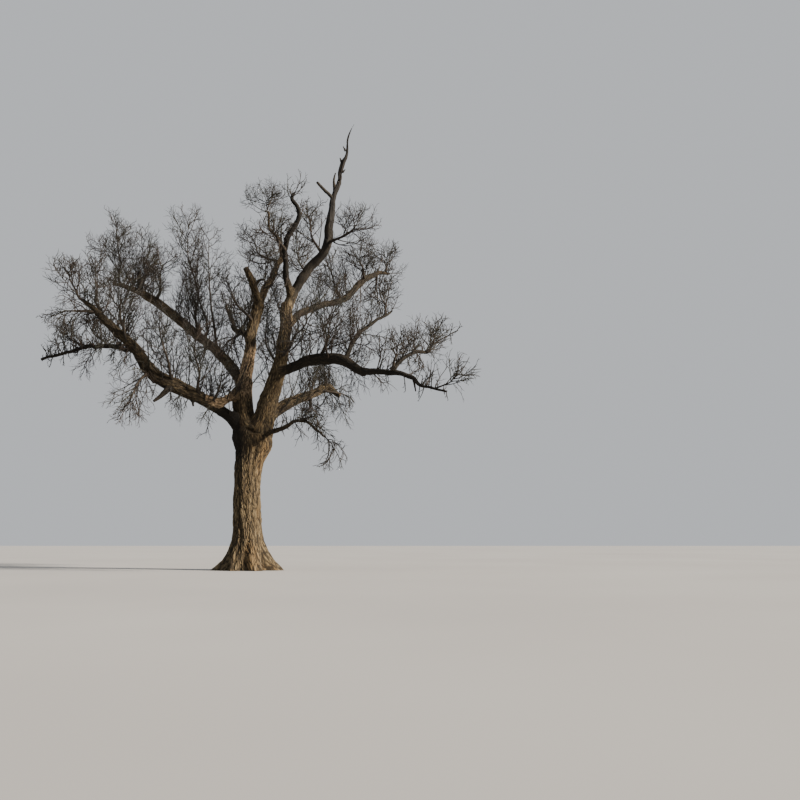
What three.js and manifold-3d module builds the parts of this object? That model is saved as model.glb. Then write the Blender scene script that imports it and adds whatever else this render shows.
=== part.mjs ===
// A mature oak in winter, bare of leaves, at its real size in millimetres.
// X runs to the right in the front view, Y away from the viewer and Z up.
// The origin is the middle of the flat cut under the trunk, at ground level.

import * as THREE from 'three';
import { mergeVertices } from 'three/addons/utils/BufferGeometryUtils.js';
import Module from 'manifold-3d';

const wasm = await Module();
wasm.setup();

// Gap between two pieces that meet, and how a limb is divided into facets
const CLEARANCE = 0.35;
const LIMB_SIDES = 8;
const LIMB_RING_SPACING = 1000;
const COURSE_TENSION = 0.5;

// A limb's broken end narrows by this share of its radius over the same length
const BROKEN_END = 0.35;

// The trunk: its bare stem, the roots' buttresses round its foot, the burrs under its fork and the
// main ribs of its bark. A bearing is in degrees from +X, anticlockwise as seen from above.
const TRUNK_SIDES = 48;
const TRUNK_LEVELS = [0, 300, 600, 950, 1400, 1900, 2700, 3600, 4500, 5100, 5600, 6000, 6300, 6500];
const DOME_START = 6300;
const DOME_SHRINK = 0.25;
const BUTTRESS_HEIGHT = 2000;
const BUTTRESS_CURVE = 2;
const BUTTRESS_WIDTH = 24;
const BUTTRESSES = [
  { bearing: 2, reach: 1200 },
  { bearing: 58, reach: 650 },
  { bearing: 122, reach: 700 },
  { bearing: 184, reach: 800 },
  { bearing: 236, reach: 550 },
  { bearing: 304, reach: 700 },
];
const BURRS = [
  { bearing: 345, height: 5900, swell: 220, width: 40, depth: 520 },
  { bearing: 190, height: 6150, swell: 110, width: 35, depth: 380 },
  { bearing: 90, height: 5600, swell: 120, width: 45, depth: 600 },
];

// The ribs run up the trunk, lean a little round it for each metre, waver and fade below the fork.
const RIBS = { count: 12, height: 38, lean: 3.4, waver: 7, pace: 2300, uneven: 0.45, fade: 900 };

// Each limb's bends, from the heart of the limb or trunk that it springs from: x, y, z and the
// radius at each. A snag is a broken stub fused to its limb.
const LIMBS = [
  {
    name: 'trunk',
    bends: [
      [0, 0, 0, 690], [-50, 0, 1850, 650], [-100, 0, 3300, 610],
      [-100, 0, 4700, 640], [50, 0, 5800, 780], [0, 0, 6500, 900],
    ],
  },
  {
    name: 'left_leader',
    bends: [
      [-250, 0, 6250, 580], [-520, 150, 7900, 480], [-520, 400, 9100, 385],
      [-400, 700, 10400, 290], [-350, 1000, 11750, 265], [-100, 1300, 13300, 285],
    ],
  },
  {
    name: 'right_leader',
    bends: [
      [400, 0, 6350, 560], [700, -200, 7700, 470], [1000, -400, 8650, 400],
      [1350, -600, 9650, 340], [1550, -700, 10750, 305], [1650, -600, 12800, 260],
    ],
  },
  {
    name: 'low_left_bough',
    bends: [
      [-500, 0, 6750, 315], [-1250, -500, 7400, 250], [-1950, -1000, 7850, 270],
      [-2850, -1650, 8300, 335], [-4100, -2450, 8850, 305],
    ],
    snags: [
      [[-3400, -2000, 8450, 165], [-3650, -2400, 8050, 115], [-3950, -2800, 7600, 55]],
      [[-2620, -1500, 8150, 110], [-2550, -1500, 7850, 75], [-2500, -1500, 7600, 45]],
    ],
  },
  {
    name: 'short_right_bough',
    bends: [
      [550, -200, 6900, 340], [1130, 500, 7730, 285], [1850, 1300, 8320, 255],
      [2600, 2000, 8750, 220], [3360, 2700, 9260, 200], [3990, 3100, 8890, 120],
    ],
    snags: [
      [[2540, 2000, 8690, 100], [2590, 2050, 8370, 85], [2610, 2050, 8150, 65]],
    ],
  },
  {
    name: 'left_stub',
    bends: [
      [0, 1300, 13200, 205], [-200, 900, 13850, 190], [-350, 500, 14400, 180], [-600, 200, 14950, 140],
    ],
    snags: [[[-250, 700, 14100, 90], [20, 700, 14450, 70], [250, 720, 14520, 55]]],
  },
  {
    name: 'left_leader_top',
    bends: [
      [-150, 1250, 13050, 220], [150, 1900, 14400, 195],
      [450, 2400, 15400, 160], [750, 3000, 16600, 135],
      [500, 3400, 17750, 95], [0, 3600, 18400, 80], [-150, 3800, 19500, 55],
    ],
  },
  {
    name: 'dead_spire',
    bends: [
      [1650, -600, 12550, 245], [2000, -600, 13500, 235], [2700, -700, 14600, 220],
      [3350, -800, 15250, 215], [3600, -800, 16050, 205], [3780, -700, 17650, 175],
      [3900, -600, 18400, 150], [4050, -600, 19200, 115], [4280, -600, 20000, 125],
      [4430, -700, 20700, 80], [4600, -800, 21600, 50], [4850, -800, 22250, 20],
    ],
    snags: [
      [[3880, -600, 18250, 85], [3500, -1000, 18550, 80], [3110, -1400, 18810, 60]],
      [[3900, -620, 18700, 70], [3880, -740, 19200, 55], [3950, -780, 19600, 30]],
    ],
  },
  {
    name: 'hooked_leader',
    bends: [
      [1850, -600, 13200, 185], [1700, -1300, 14000, 145],
      [1700, -2000, 14750, 125], [1900, -2500, 15400, 125],
      [2500, -3000, 16400, 105], [2150, -3200, 17100, 80], [2250, -3200, 17450, 45],
    ],
  },
  {
    name: 'upper_left_bough',
    bends: [
      [-550, 400, 8950, 295], [-1350, 1000, 10050, 265],
      [-2350, 1700, 11050, 245], [-3450, 2400, 12000, 235],
      [-5750, 3600, 13950, 245], [-6700, 4000, 14600, 220],
      [-7850, 4400, 15250, 140], [-8900, 4600, 15550, 75],
    ],
    snags: [[[-7150, 4100, 14850, 120], [-7100, 3900, 15450, 115], [-7200, 3700, 15950, 85]]],
  },
  {
    name: 'low_left_bough_end',
    bends: [
      [-3950, -2350, 8700, 300], [-4400, -2750, 9250, 275], [-4900, -3200, 10050, 235],
      [-5550, -3600, 10650, 205], [-6150, -3900, 11250, 160], [-6900, -4100, 11900, 80],
    ],
  },
  {
    name: 'grafted_arm',
    bends: [
      [-600, 300, 8800, 270], [-1000, -300, 8250, 205],
      [-1450, -900, 7900, 190], [-2000, -1200, 8000, 190],
    ],
  },
  {
    name: 'far_left_arm',
    bends: [
      [-4700, -2900, 9700, 135], [-5450, -2400, 10140, 110], [-7490, -1200, 10530, 100],
      [-8730, -600, 10450, 85], [-10460, 0, 10170, 65],
    ],
  },
  {
    name: 'mid_right_bough',
    bends: [
      [1200, -500, 9400, 240], [2090, -1200, 9500, 225], [2880, -1900, 9670, 255],
      [3750, -2600, 9590, 270], [4510, -3200, 9420, 245], [5650, -3900, 8670, 165],
    ],
  },
  {
    name: 'mid_right_bough_end',
    bends: [
      [5440, -3800, 8790, 160], [6340, -4300, 8640, 130], [7280, -4800, 8490, 110],
      [8060, -5100, 7910, 65], [8530, -5200, 7760, 55], [9160, -5500, 7540, 40],
    ],
    snags: [
      [[7790, -5000, 8140, 50], [7830, -4900, 7900, 40], [7870, -4900, 7660, 25]],
    ],
  },
  {
    name: 'right_fork_arm',
    bends: [
      [6880, -4600, 8610, 90], [7280, -4100, 9210, 85], [7750, -3700, 9640, 80],
      [8460, -3200, 9770, 75], [8830, -2900, 10210, 40], [9900, -2200, 11050, 25],
    ],
  },
  {
    name: 'inner_right_arm',
    bends: [
      [4780, -3300, 9380, 110], [4940, -2800, 10260, 105], [5420, -2200, 11050, 95],
      [6810, -1200, 12290, 45],
    ],
  },
  {
    name: 'upper_right_bough',
    bends: [
      [1550, -600, 11500, 220], [2140, 0, 12440, 175], [3000, 800, 13140, 155],
      [3980, 1700, 13650, 160], [4620, 2400, 14350, 170], [5250, 3100, 15270, 165],
      [5950, 3600, 15830, 120], [6560, 4000, 15950, 75],
    ],
  },
  {
    name: 'drooping_bough',
    bends: [
      [600, 0, 6450, 135], [1550, -1000, 6570, 105], [2470, -2000, 6810, 75],
      [3220, -2800, 6540, 60], [3810, -3400, 5920, 40],
    ],
  },
  {
    name: 'back_bough',
    bends: [
      [-400, 900, 11500, 165], [-1050, 2400, 12150, 145],
      [-1800, 4000, 12750, 125], [-2950, 6600, 14850, 65],
    ],
  },
];

// Each mass of twigs: how far along its limb its stem stands, the point that the stem climbs or
// droops to, and how wide its space is on each side of the stem.
const MASSES = {
  upper_left_bough: [
    { at: 0.93, tip: [-8900, 5000, 18900], spread: 1700 },
    { at: 0.76, tip: [-8000, 6200, 18700], spread: 1600 },
    { at: 0.4, tip: [-4400, 3000, 18600], spread: 1800 },
    { at: 0.64, tip: [-5000, 1200, 15600], spread: 1400 },
    { at: 0.27, tip: [-3600, 4400, 18200], spread: 1700 },
  ],
  low_left_bough_end: [
    { at: 0.97, tip: [-7500, -4600, 13100], spread: 1200 },
    { at: 0.78, tip: [-7200, -2400, 14100], spread: 1500 },
    { at: 0.86, tip: [-7500, -4800, 11200], spread: 1200 },
    { at: 0.5, tip: [-4900, -5000, 12300], spread: 1400 },
    { at: 0.12, tip: [-4800, -3800, 7100], spread: 1300 },
  ],
  far_left_arm: [
    { at: 0.5, tip: [-9500, 400, 11500], spread: 1250 },
    { at: 0.3, tip: [-8000, -400, 11600], spread: 1400 },
  ],
  low_left_bough: [
    { at: 0.85, tip: [-3500, -4200, 10900], spread: 1500 },
    { at: 0.6, tip: [-2100, -3200, 10500], spread: 1500 },
    { at: 0.45, tip: [-1000, -2400, 9100], spread: 1000 },
  ],
  left_leader_top: [
    { at: 0.97, tip: [-400, 4400, 20500], spread: 1500 },
    { at: 0.45, tip: [-1400, 5200, 18700], spread: 1500 },
  ],
  left_leader: [
    { at: 0.88, tip: [-1400, -800, 14100], spread: 1100 },
  ],
  hooked_leader: [
    { at: 0.4, tip: [1400, -4000, 15200], spread: 1200 },
  ],
  dead_spire: [
    { at: 0.28, tip: [2700, -1500, 17100], spread: 1200 },
    { at: 0.35, tip: [5200, -2200, 16100], spread: 1500 },
    { at: 0.16, tip: [1800, 2600, 17200], spread: 1400 },
  ],
  upper_right_bough: [
    { at: 0.95, tip: [6500, 4600, 17400], spread: 1100 },
    { at: 0.45, tip: [3400, 3000, 16300], spread: 1400 },
    { at: 0.72, tip: [5100, 1200, 16000], spread: 1250 },
    { at: 0.85, tip: [5900, 4400, 14200], spread: 1200 },
  ],
  inner_right_arm: [
    { at: 0.92, tip: [6500, -2400, 12900], spread: 1300 },
  ],
  mid_right_bough: [
    { at: 0.55, tip: [4000, -3600, 11200], spread: 1500 },
  ],
  right_fork_arm: [
    { at: 0.55, tip: [8900, -1800, 11200], spread: 1100 },
  ],
  mid_right_bough_end: [
    { at: 0.85, tip: [9600, -5900, 8200], spread: 1100 },
    { at: 0.3, tip: [7100, -5600, 9500], spread: 1200 },
  ],
  short_right_bough: [
    { at: 0.6, tip: [2700, 3400, 10300], spread: 1100 },
    { at: 0.7, tip: [4500, 2600, 8800], spread: 1000 },
  ],
  drooping_bough: [
    { at: 0.96, tip: [4300, -3700, 5300], spread: 1200 },
    { at: 0.5, tip: [3600, -3800, 6800], spread: 1200 },
  ],
  right_leader: [
    { at: 0.55, tip: [100, 3200, 14400], spread: 1400 },
    { at: 0.7, tip: [3300, -5400, 10800], spread: 1500 },
  ],
  back_bough: [
    { at: 0.96, tip: [-2700, 7400, 14700], spread: 1400 },
    { at: 0.6, tip: [-1100, 6200, 16000], spread: 1500 },
    { at: 0.4, tip: [-2800, 5400, 11800], spread: 1400 },
  ],
};

// How a mass branches: a stem carries side shoots, and those carry twigs, in a spiral that turns by
// the golden angle. A shoot's length is a share of its mass's spread, or of the shoot it stands on,
// that falls towards the tip. Its girth is a share of its parent's where it stands.
const GOLDEN_ANGLE = THREE.MathUtils.degToRad(137.5);
const STEM = { segments: 4, radius: 85, flow: 0.7, wobble: 0.05 };
const SIDE_SHOOTS = {
  count: 9, first: 0.24, segments: 4, long: 1.5, fall: 0.75, leave: 50, lift: 0.14, wander: 0.34,
};
const TWIGS = {
  count: 6, first: 0.3, segments: 3, long: 0.5, fall: 0.2, leave: 45, lift: 0.1, wander: 0.3,
};
const TWIG_STRIDE = 3;
const GIRTH_RATIO = 0.48;
const SHOOT_SIDES = 3;

// How much chance varies a shoot's place, turn, leaving angle and length
const CHANCE_OF = { place: 0.3, turn: 0.8, leave: 0.25, length: 0.15 };

// Salts that keep one use of chance apart from another
const SALT = { place: 1, turn: 2, leave: 3, length: 4, stray: 11, sway: 31, child: 101 };
const FIRST_SEED = 1000;

// Twigs keep this far from the next mass's space, as a share of the spread, and from any limb
const SPACE_MARGIN = 0.06;
const LIMB_MARGIN = 60;
const GUARD_SPACING = 250;

// Materials
const BARK = new THREE.MeshStandardMaterial({ color: '#5d4d3d', roughness: 0.95, metalness: 0 });
const DEAD_WOOD = new THREE.MeshStandardMaterial({ color: '#7a7066', roughness: 0.9, metalness: 0 });
const TWIG_BARK = new THREE.MeshStandardMaterial({ color: '#4b4238', roughness: 0.9, metalness: 0 });

const UP = new THREE.Vector3(0, 0, 1);
const SIDEWAYS = new THREE.Vector3(0.6, -0.8, 0);
const HALVINGS = 30;

function point([x, y, z]) {
  return new THREE.Vector3(x, y, z);
}

// Repeatable chance: the same seed and salt always give the same number.
function scramble(seed, salt) {
  let bits = seed ^ Math.imul(salt, 0x9e3779b9);
  bits ^= bits >>> 16;
  bits = Math.imul(bits, 0x7feb352d);
  bits ^= bits >>> 15;
  bits = Math.imul(bits, 0x846ca68b);
  bits ^= bits >>> 16;
  return bits >>> 0;
}

// A number from -1 to 1
function leaning(seed, salt) {
  return 2 * (scramble(seed, salt) / 2 ** 32) - 1;
}

// A limb's course is a smooth curve through its bends, with its radius carried along it.
function courseOf(bends) {
  const through = (places) => new THREE.CatmullRomCurve3(places, false, 'catmullrom', COURSE_TENSION);
  const line = through(bends.map(point));
  const girth = through(bends.map(([, , , radius]) => point([radius, 0, 0])));
  return {
    line,
    at: (fraction) => line.getPoint(fraction),
    radius: (fraction) => girth.getPoint(fraction).x,
  };
}

function toManifold(geometry) {
  const bare = geometry.clone();
  bare.deleteAttribute('normal');
  bare.deleteAttribute('uv');
  const merged = mergeVertices(bare, 0.001);
  return new wasm.Manifold(new wasm.Mesh({
    numProp: 3,
    vertProperties: new Float32Array(merged.attributes.position.array),
    triVerts: new Uint32Array(merged.index.array),
  }));
}

function toMesh(name, solid, material) {
  const { vertProperties, triVerts } = solid.getMesh();
  const geometry = new THREE.BufferGeometry();
  geometry.setAttribute('position', new THREE.BufferAttribute(vertProperties, 3));
  geometry.setIndex(new THREE.BufferAttribute(triVerts, 1));
  geometry.computeVertexNormals();
  const mesh = new THREE.Mesh(geometry, material);
  mesh.name = name;
  return mesh;
}

// Two directions square to a path at each of its points, carried on without twist
function ringFrames(places) {
  const frames = [];
  let across = SIDEWAYS.clone();
  for (let index = 0; index < places.length; index += 1) {
    const before = places[Math.max(index - 1, 0)];
    const after = places[Math.min(index + 1, places.length - 1)];
    const along = after.clone().sub(before).normalize();
    across = across.clone().addScaledVector(along, -across.dot(along)).normalize();
    frames.push({ across, over: along.clone().cross(across) });
  }
  return frames;
}

// A round bar bent along a path: every ring of a cylinder, or of a cone that ends in a point,
// moves to its place on the path, square to the path there, and takes the path's radius.
function bentBar(places, radii, sides) {
  const steps = places.length - 1;
  const tip = radii[steps] > 0 ? 1 : 0;
  const bar = new THREE.CylinderGeometry(tip, 1, 1, sides, steps);
  const frames = ringFrames(places);
  const vertices = bar.attributes.position;
  for (let index = 0; index < vertices.count; index += 1) {
    const ring = Math.round((vertices.getY(index) + 0.5) * steps);
    const spoke = new THREE.Vector2(vertices.getX(index), vertices.getZ(index)).normalize();
    const { across, over } = frames[ring];
    const spot = places[ring].clone();
    spot.addScaledVector(across, spoke.x * radii[ring]);
    spot.addScaledVector(over, -spoke.y * radii[ring]);
    vertices.setXYZ(index, spot.x, spot.y, spot.z);
  }
  return toManifold(bar);
}

// A limb's solid with its broken end, grown on all sides where it is used to cut clearance
function limbBar(course, growth) {
  const steps = Math.max(3, Math.round(course.line.getLength() / LIMB_RING_SPACING));
  const evenly = Array.from({ length: steps + 1 }, (_, index) => index / steps);
  const fractions = evenly.map((share) => course.line.getUtoTmapping(share));
  const places = fractions.map(course.at);
  const radii = fractions.map((fraction) => course.radius(fraction) + growth);
  const start = places[1].clone().sub(places[0]).normalize();
  const end = places[steps].clone().sub(places[steps - 1]).normalize();
  places[0].addScaledVector(start, -growth);
  places.push(places[steps].clone().addScaledVector(end, BROKEN_END * radii[steps] + growth));
  radii.push(radii[steps] * (1 - BROKEN_END));
  return bentBar(places, radii, LIMB_SIDES);
}

function turnBetween(bearing, other) {
  const turn = THREE.MathUtils.euclideanModulo(bearing - other, 360);
  return Math.min(turn, 360 - turn);
}

// How far the ribs of the bark stand out from the trunk, or below 0 how deep it is between them
function ribHeight(bearing, height) {
  const waver = RIBS.waver * Math.sin((2 * Math.PI * height) / RIBS.pace);
  const turn = THREE.MathUtils.degToRad(bearing + (RIBS.lean * height) / 1000 + waver);
  const share = 1 + RIBS.uneven * Math.sin(3 * turn + height / RIBS.pace);
  const fading = THREE.MathUtils.clamp((DOME_START - height) / RIBS.fade, 0, 1);
  return RIBS.height * share * fading * Math.cos(RIBS.count * turn);
}

// The trunk's radius: the stem's taper, plus what its buttresses, burrs and ribs add
function trunkRadius(stem, bearing, height) {
  const rise = Math.max(0, 1 - height / BUTTRESS_HEIGHT) ** BUTTRESS_CURVE;
  let radius = stem;
  for (const buttress of BUTTRESSES) {
    const off = turnBetween(bearing, buttress.bearing) / BUTTRESS_WIDTH;
    radius += buttress.reach * rise * Math.exp(-off * off);
  }
  for (const burr of BURRS) {
    const off = turnBetween(bearing, burr.bearing) / burr.width;
    const above = (height - burr.height) / burr.depth;
    radius += burr.swell * Math.exp(-off * off - above * above);
  }
  radius += ribHeight(bearing, height);
  const doming = Math.max(0, height - DOME_START) / (TRUNK_LEVELS.at(-1) - DOME_START);
  return radius * (1 - DOME_SHRINK * doming);
}

function fractionAtHeight(course, height) {
  let low = 0;
  let high = 1;
  for (let halving = 0; halving < HALVINGS; halving += 1) {
    const middle = (low + high) / 2;
    if (course.at(middle).z < height) {
      low = middle;
    } else {
      high = middle;
    }
  }
  return (low + high) / 2;
}

// The trunk is a stack of level rings, so that its foot is a flat cut at ground level.
function trunkBar(course, growth) {
  const steps = TRUNK_LEVELS.length - 1;
  const stack = new THREE.CylinderGeometry(1, 1, 1, TRUNK_SIDES, steps);
  const vertices = stack.attributes.position;
  const levels = TRUNK_LEVELS.map((height) => {
    const fraction = fractionAtHeight(course, height);
    return { height, centre: course.at(fraction), stem: course.radius(fraction) };
  });
  for (let index = 0; index < vertices.count; index += 1) {
    const level = Math.round((vertices.getY(index) + 0.5) * steps);
    const { height, centre, stem } = levels[level];
    const spoke = new THREE.Vector2(vertices.getX(index), -vertices.getZ(index));
    const bearing = THREE.MathUtils.radToDeg(spoke.angle());
    spoke.multiplyScalar(trunkRadius(stem, bearing, height) + growth);
    const top = level === steps ? growth : 0;
    vertices.setXYZ(index, centre.x + spoke.x, centre.y + spoke.y, height + top);
  }
  return toManifold(stack);
}

function largestPiece(solid) {
  return solid.decompose().reduce((best, piece) => (piece.volume() > best.volume() ? piece : best));
}

// Every limb is cut clear of those that stand before it in the list.
function buildLimbs() {
  const built = [];
  for (const { name, bends, snags = [] } of LIMBS) {
    const course = courseOf(bends);
    const bar = name === 'trunk' ? trunkBar : limbBar;
    let solid = bar(course, 0);
    let clearance = bar(course, CLEARANCE);
    for (const snag of snags.map(courseOf)) {
      solid = solid.add(limbBar(snag, 0));
      clearance = clearance.add(limbBar(snag, CLEARANCE));
    }
    for (const earlier of built) {
      solid = solid.subtract(earlier.clearance);
    }
    built.push({ name, course, clearance, solid: largestPiece(solid) });
  }
  return built;
}

// Places along a limb with its radius there, to keep the twigs off it
function guardsOf({ course }) {
  const count = Math.ceil(course.line.getLength() / GUARD_SPACING);
  return Array.from({ length: count + 1 }, (_, index) => ({
    place: course.at(index / count),
    radius: course.radius(index / count),
  }));
}

// A stem leaves its limb sideways and then climbs or droops to its tip, with a slight wobble.
function stemPath(limb, mass, seed) {
  const start = limb.course.at(mass.at);
  const tip = point(mass.tip);
  const chord = tip.clone().sub(start);
  const flow = new THREE.Vector3(STEM.flow, STEM.flow, 1 - STEM.flow);
  const arc = new THREE.QuadraticBezierCurve3(start, chord.clone().multiply(flow).add(start), tip);
  return Array.from({ length: STEM.segments + 1 }, (_, index) => {
    const fraction = index / STEM.segments;
    const sway = STEM.wobble * chord.length() * Math.sin(Math.PI * fraction);
    const shift = [0, 1].map((axis) => sway * leaning(seed, SALT.sway + 2 * index + axis));
    return arc.getPoint(fraction).add(point([...shift, 0]));
  });
}

// A shoot's path wanders a little at each segment and turns upward, or downward where it droops.
function shootPath(start, heading, length, form, lift, seed) {
  const path = [start];
  const course = heading.clone();
  for (let index = 0; index < form.segments; index += 1) {
    const stray = point([0, 1, 2].map((axis) => leaning(seed, SALT.stray + 3 * index + axis)));
    course.addScaledVector(stray, form.wander).addScaledVector(UP, lift * form.lift).normalize();
    path.push(path[index].clone().addScaledVector(course, length / form.segments));
  }
  return path;
}

// The place and heading of a side shoot that stands on a path
function standOn(path, number, form, seed) {
  const stage = (number + 0.5 + CHANCE_OF.place * leaning(seed, SALT.place)) / form.count;
  const fraction = form.first + (1 - form.first) * stage;
  const index = Math.min(Math.floor(fraction * (path.length - 1)), path.length - 2);
  const start = path[index].clone().lerp(path[index + 1], fraction * (path.length - 1) - index);
  const forward = path[index + 1].clone().sub(path[index]).normalize();
  const side = forward.clone().cross(SIDEWAYS).normalize();
  const other = forward.clone().cross(side);
  const turn = GOLDEN_ANGLE * number + CHANCE_OF.turn * leaning(seed, SALT.turn);
  const leave = THREE.MathUtils.degToRad(form.leave * (1 + CHANCE_OF.leave * leaning(seed, SALT.leave)));
  const outward = side.multiplyScalar(Math.cos(turn)).addScaledVector(other, Math.sin(turn));
  const heading = forward.multiplyScalar(Math.cos(leave)).addScaledVector(outward, Math.sin(leave));
  return { fraction, start, heading };
}

// All the shoots that stand on a parent: a mass's stem, or one of its side shoots
function growShoots(parent, form, lift) {
  return Array.from({ length: form.count }, (_, number) => {
    const seed = scramble(parent.seed, SALT.child + number);
    const { fraction, start, heading } = standOn(parent.path, number, form, seed);
    const vigour = 1 + CHANCE_OF.length * leaning(seed, SALT.length);
    const length = parent.scale * (form.long - form.fall * fraction) * vigour;
    const radius = GIRTH_RATIO * parent.radius * (1 - fraction);
    return { seed, scale: length, radius, path: shootPath(start, heading, length, form, lift, seed) };
  });
}

function distanceToPath(place, path) {
  const nearest = new THREE.Vector3();
  let best = Infinity;
  for (let index = 1; index < path.length; index += 1) {
    new THREE.Line3(path[index - 1], path[index]).closestPointToPoint(place, true, nearest);
    best = Math.min(best, nearest.distanceTo(place));
  }
  return best;
}

// A shoot keeps to its mass's space: nearer to its own stem than to any other, and off every limb.
function keepsToSpace(path, mass, masses, guards) {
  return path.slice(1).every((place) => {
    const own = distanceToPath(place, mass.path) / mass.scale;
    const apart = masses.every((other) => other === mass
      || own < distanceToPath(place, other.path) / other.scale - SPACE_MARGIN);
    const clear = guards.every((guard) => guard.place.distanceTo(place) > guard.radius + LIMB_MARGIN);
    return own < 1 && apart && clear;
  });
}

// A shoot is a three-sided spike that tapers to a point, bent where its path bends.
function spike(path, radius) {
  const radii = path.map((_, index) => radius * (1 - index / (path.length - 1)));
  return bentBar(path, radii, SHOOT_SIDES);
}

function massSolid(mass, masses, limbs, guards) {
  const lift = Math.sign(mass.path.at(-1).z - mass.path[0].z);
  const keeps = (shoot) => keepsToSpace(shoot.path, mass, masses, guards);
  const shoots = growShoots(mass, SIDE_SHOOTS, lift).filter(keeps);
  const twigs = shoots.flatMap((shoot) => growShoots(shoot, TWIGS, lift)
    .filter((twig, number) => number % TWIG_STRIDE === 0 && keeps(twig)));
  const bars = [
    spike(mass.path, mass.radius),
    ...shoots.map(({ path, radius }) => spike(path.filter((_, index) => index % 2 === 0), radius)),
    ...twigs.map(({ path, radius }) => spike([path[0], path.at(-1)], radius)),
  ];
  let solid = wasm.Manifold.union(bars);
  for (const limb of limbs) {
    solid = solid.subtract(limb.clearance);
  }
  return largestPiece(solid);
}

function buildMasses(limbs) {
  const masses = [];
  for (const limb of limbs) {
    for (const [index, mass] of (MASSES[limb.name] ?? []).entries()) {
      const seed = FIRST_SEED + masses.length;
      masses.push({
        name: `${limb.name}_twigs_${index + 1}`,
        seed,
        scale: mass.spread,
        radius: STEM.radius,
        path: stemPath(limb, mass, seed),
      });
    }
  }
  const guards = limbs.flatMap(guardsOf);
  return masses.map((mass) => ({ ...mass, solid: massSolid(mass, masses, limbs, guards) }));
}

const limbs = buildLimbs();
const masses = buildMasses(limbs);

const framework = new THREE.Group();
for (const { name, solid } of limbs) {
  framework.add(toMesh(name, solid, name === 'dead_spire' ? DEAD_WOOD : BARK));
}
const crown = new THREE.Group();
for (const { name, solid } of masses) {
  crown.add(toMesh(name, solid, TWIG_BARK));
}
const tree = new THREE.Group();
tree.add(framework, crown);

export default tree;
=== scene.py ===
# %% [markdown]
# # An oak in winter
#
# This lesson builds the looks of one old oak, bare of leaves, about 22 m tall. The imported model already
# holds its plain solids: a trunk, nineteen limbs and forty masses of twigs, each with a place and a size.
# Every one of them is replaced here by a finer surface that keeps that place. Lengths are in metres, X runs
# to the right, Y away from the viewer and Z up. The origin is the middle of the cut under the trunk.

from typing import NamedTuple

import bpy
import numpy as np
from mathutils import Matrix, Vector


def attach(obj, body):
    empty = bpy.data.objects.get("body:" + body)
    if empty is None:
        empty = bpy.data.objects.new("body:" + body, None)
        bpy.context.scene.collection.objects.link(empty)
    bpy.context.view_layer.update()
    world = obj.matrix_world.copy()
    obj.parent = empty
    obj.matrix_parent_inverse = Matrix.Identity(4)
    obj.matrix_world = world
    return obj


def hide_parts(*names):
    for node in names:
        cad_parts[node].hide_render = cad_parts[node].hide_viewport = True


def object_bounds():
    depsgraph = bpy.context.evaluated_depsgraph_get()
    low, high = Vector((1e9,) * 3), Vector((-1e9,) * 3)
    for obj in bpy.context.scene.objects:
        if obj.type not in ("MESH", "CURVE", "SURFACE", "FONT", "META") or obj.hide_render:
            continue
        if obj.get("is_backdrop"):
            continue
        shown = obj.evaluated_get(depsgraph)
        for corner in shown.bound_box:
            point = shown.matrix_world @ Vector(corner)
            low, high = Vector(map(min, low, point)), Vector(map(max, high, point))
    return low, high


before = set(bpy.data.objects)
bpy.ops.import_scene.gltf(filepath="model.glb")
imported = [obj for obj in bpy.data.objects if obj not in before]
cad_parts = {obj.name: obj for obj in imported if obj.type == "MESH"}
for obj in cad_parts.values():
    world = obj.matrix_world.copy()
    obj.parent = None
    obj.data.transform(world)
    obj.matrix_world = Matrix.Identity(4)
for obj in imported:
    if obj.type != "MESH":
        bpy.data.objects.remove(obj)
packed_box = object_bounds()
print("packed nodes:", len(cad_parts))
print("packed box:", [tuple(round(value, 2) for value in corner) for corner in packed_box])

# %% [markdown]
# ## The eye
#
# The photo is taken by a standing person, 38.5 m in front of the tree and 7.2 m to its right, who looks
# straight ahead and a little upwards. A lens that spans as much as it is far gives the photo's view of about
# 53 degrees. Turning the camera sideways would squeeze the crown, so it stays square to the scene.

# %% Camera
EYE = (7.2, -38.5, 1.4)
LENS_MM = 36
FAR_CLIP = 500

# In the photo's pixels: how far eye level lies below its middle, and how long its lens is
HORIZON_DROP = 140
LENS_PIXELS = 800
LOOK_UP = np.arctan2(HORIZON_DROP, LENS_PIXELS)

camera_data = bpy.data.cameras.new("eye")
camera_data.lens = LENS_MM
camera_data.sensor_width = LENS_MM
camera_data.clip_end = FAR_CLIP
camera = bpy.data.objects.new("eye", camera_data)
camera.location = EYE
camera.rotation_euler = (np.pi / 2 + LOOK_UP, 0, 0)
bpy.context.scene.collection.objects.link(camera)
bpy.context.scene.camera = camera
print("camera looks up by", round(float(np.degrees(LOOK_UP)), 1), "degrees")

# %% [markdown]
# ## Light and room
#
# A studio for a thing this large is one broad warm lamp and a pale room. A sun lamp with a wide disc does
# the work of a huge soft box: it comes low from the right and slightly from the front, so that the right
# of each limb is lit and the left falls into shade. The room is a plain pale world that fills the shade a
# little.

# %% Light and room
LAMP_FROM = (1.0, -0.36, 0.46)
LAMP_DISC = np.radians(8)
LAMP_STRENGTH = 17.0
LAMP_COLOUR = (1.0, 0.88, 0.73)
ROOM_COLOUR = (0.86, 0.89, 0.93, 1)
ROOM_STRENGTH = 0.66


def slope_towards(source):
    """The turn that points a lamp from its source to the origin: down from the zenith, then round the Z
    axis."""
    x, y, z = source
    return (0, np.arctan2(np.hypot(x, y), z), np.arctan2(y, x))


lamp_data = bpy.data.lights.new("low_lamp", "SUN")
lamp_data.energy = LAMP_STRENGTH
lamp_data.angle = LAMP_DISC
lamp_data.color = LAMP_COLOUR
lamp = bpy.data.objects.new("low_lamp", lamp_data)
lamp.rotation_euler = slope_towards(LAMP_FROM)
bpy.context.scene.collection.objects.link(lamp)

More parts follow.
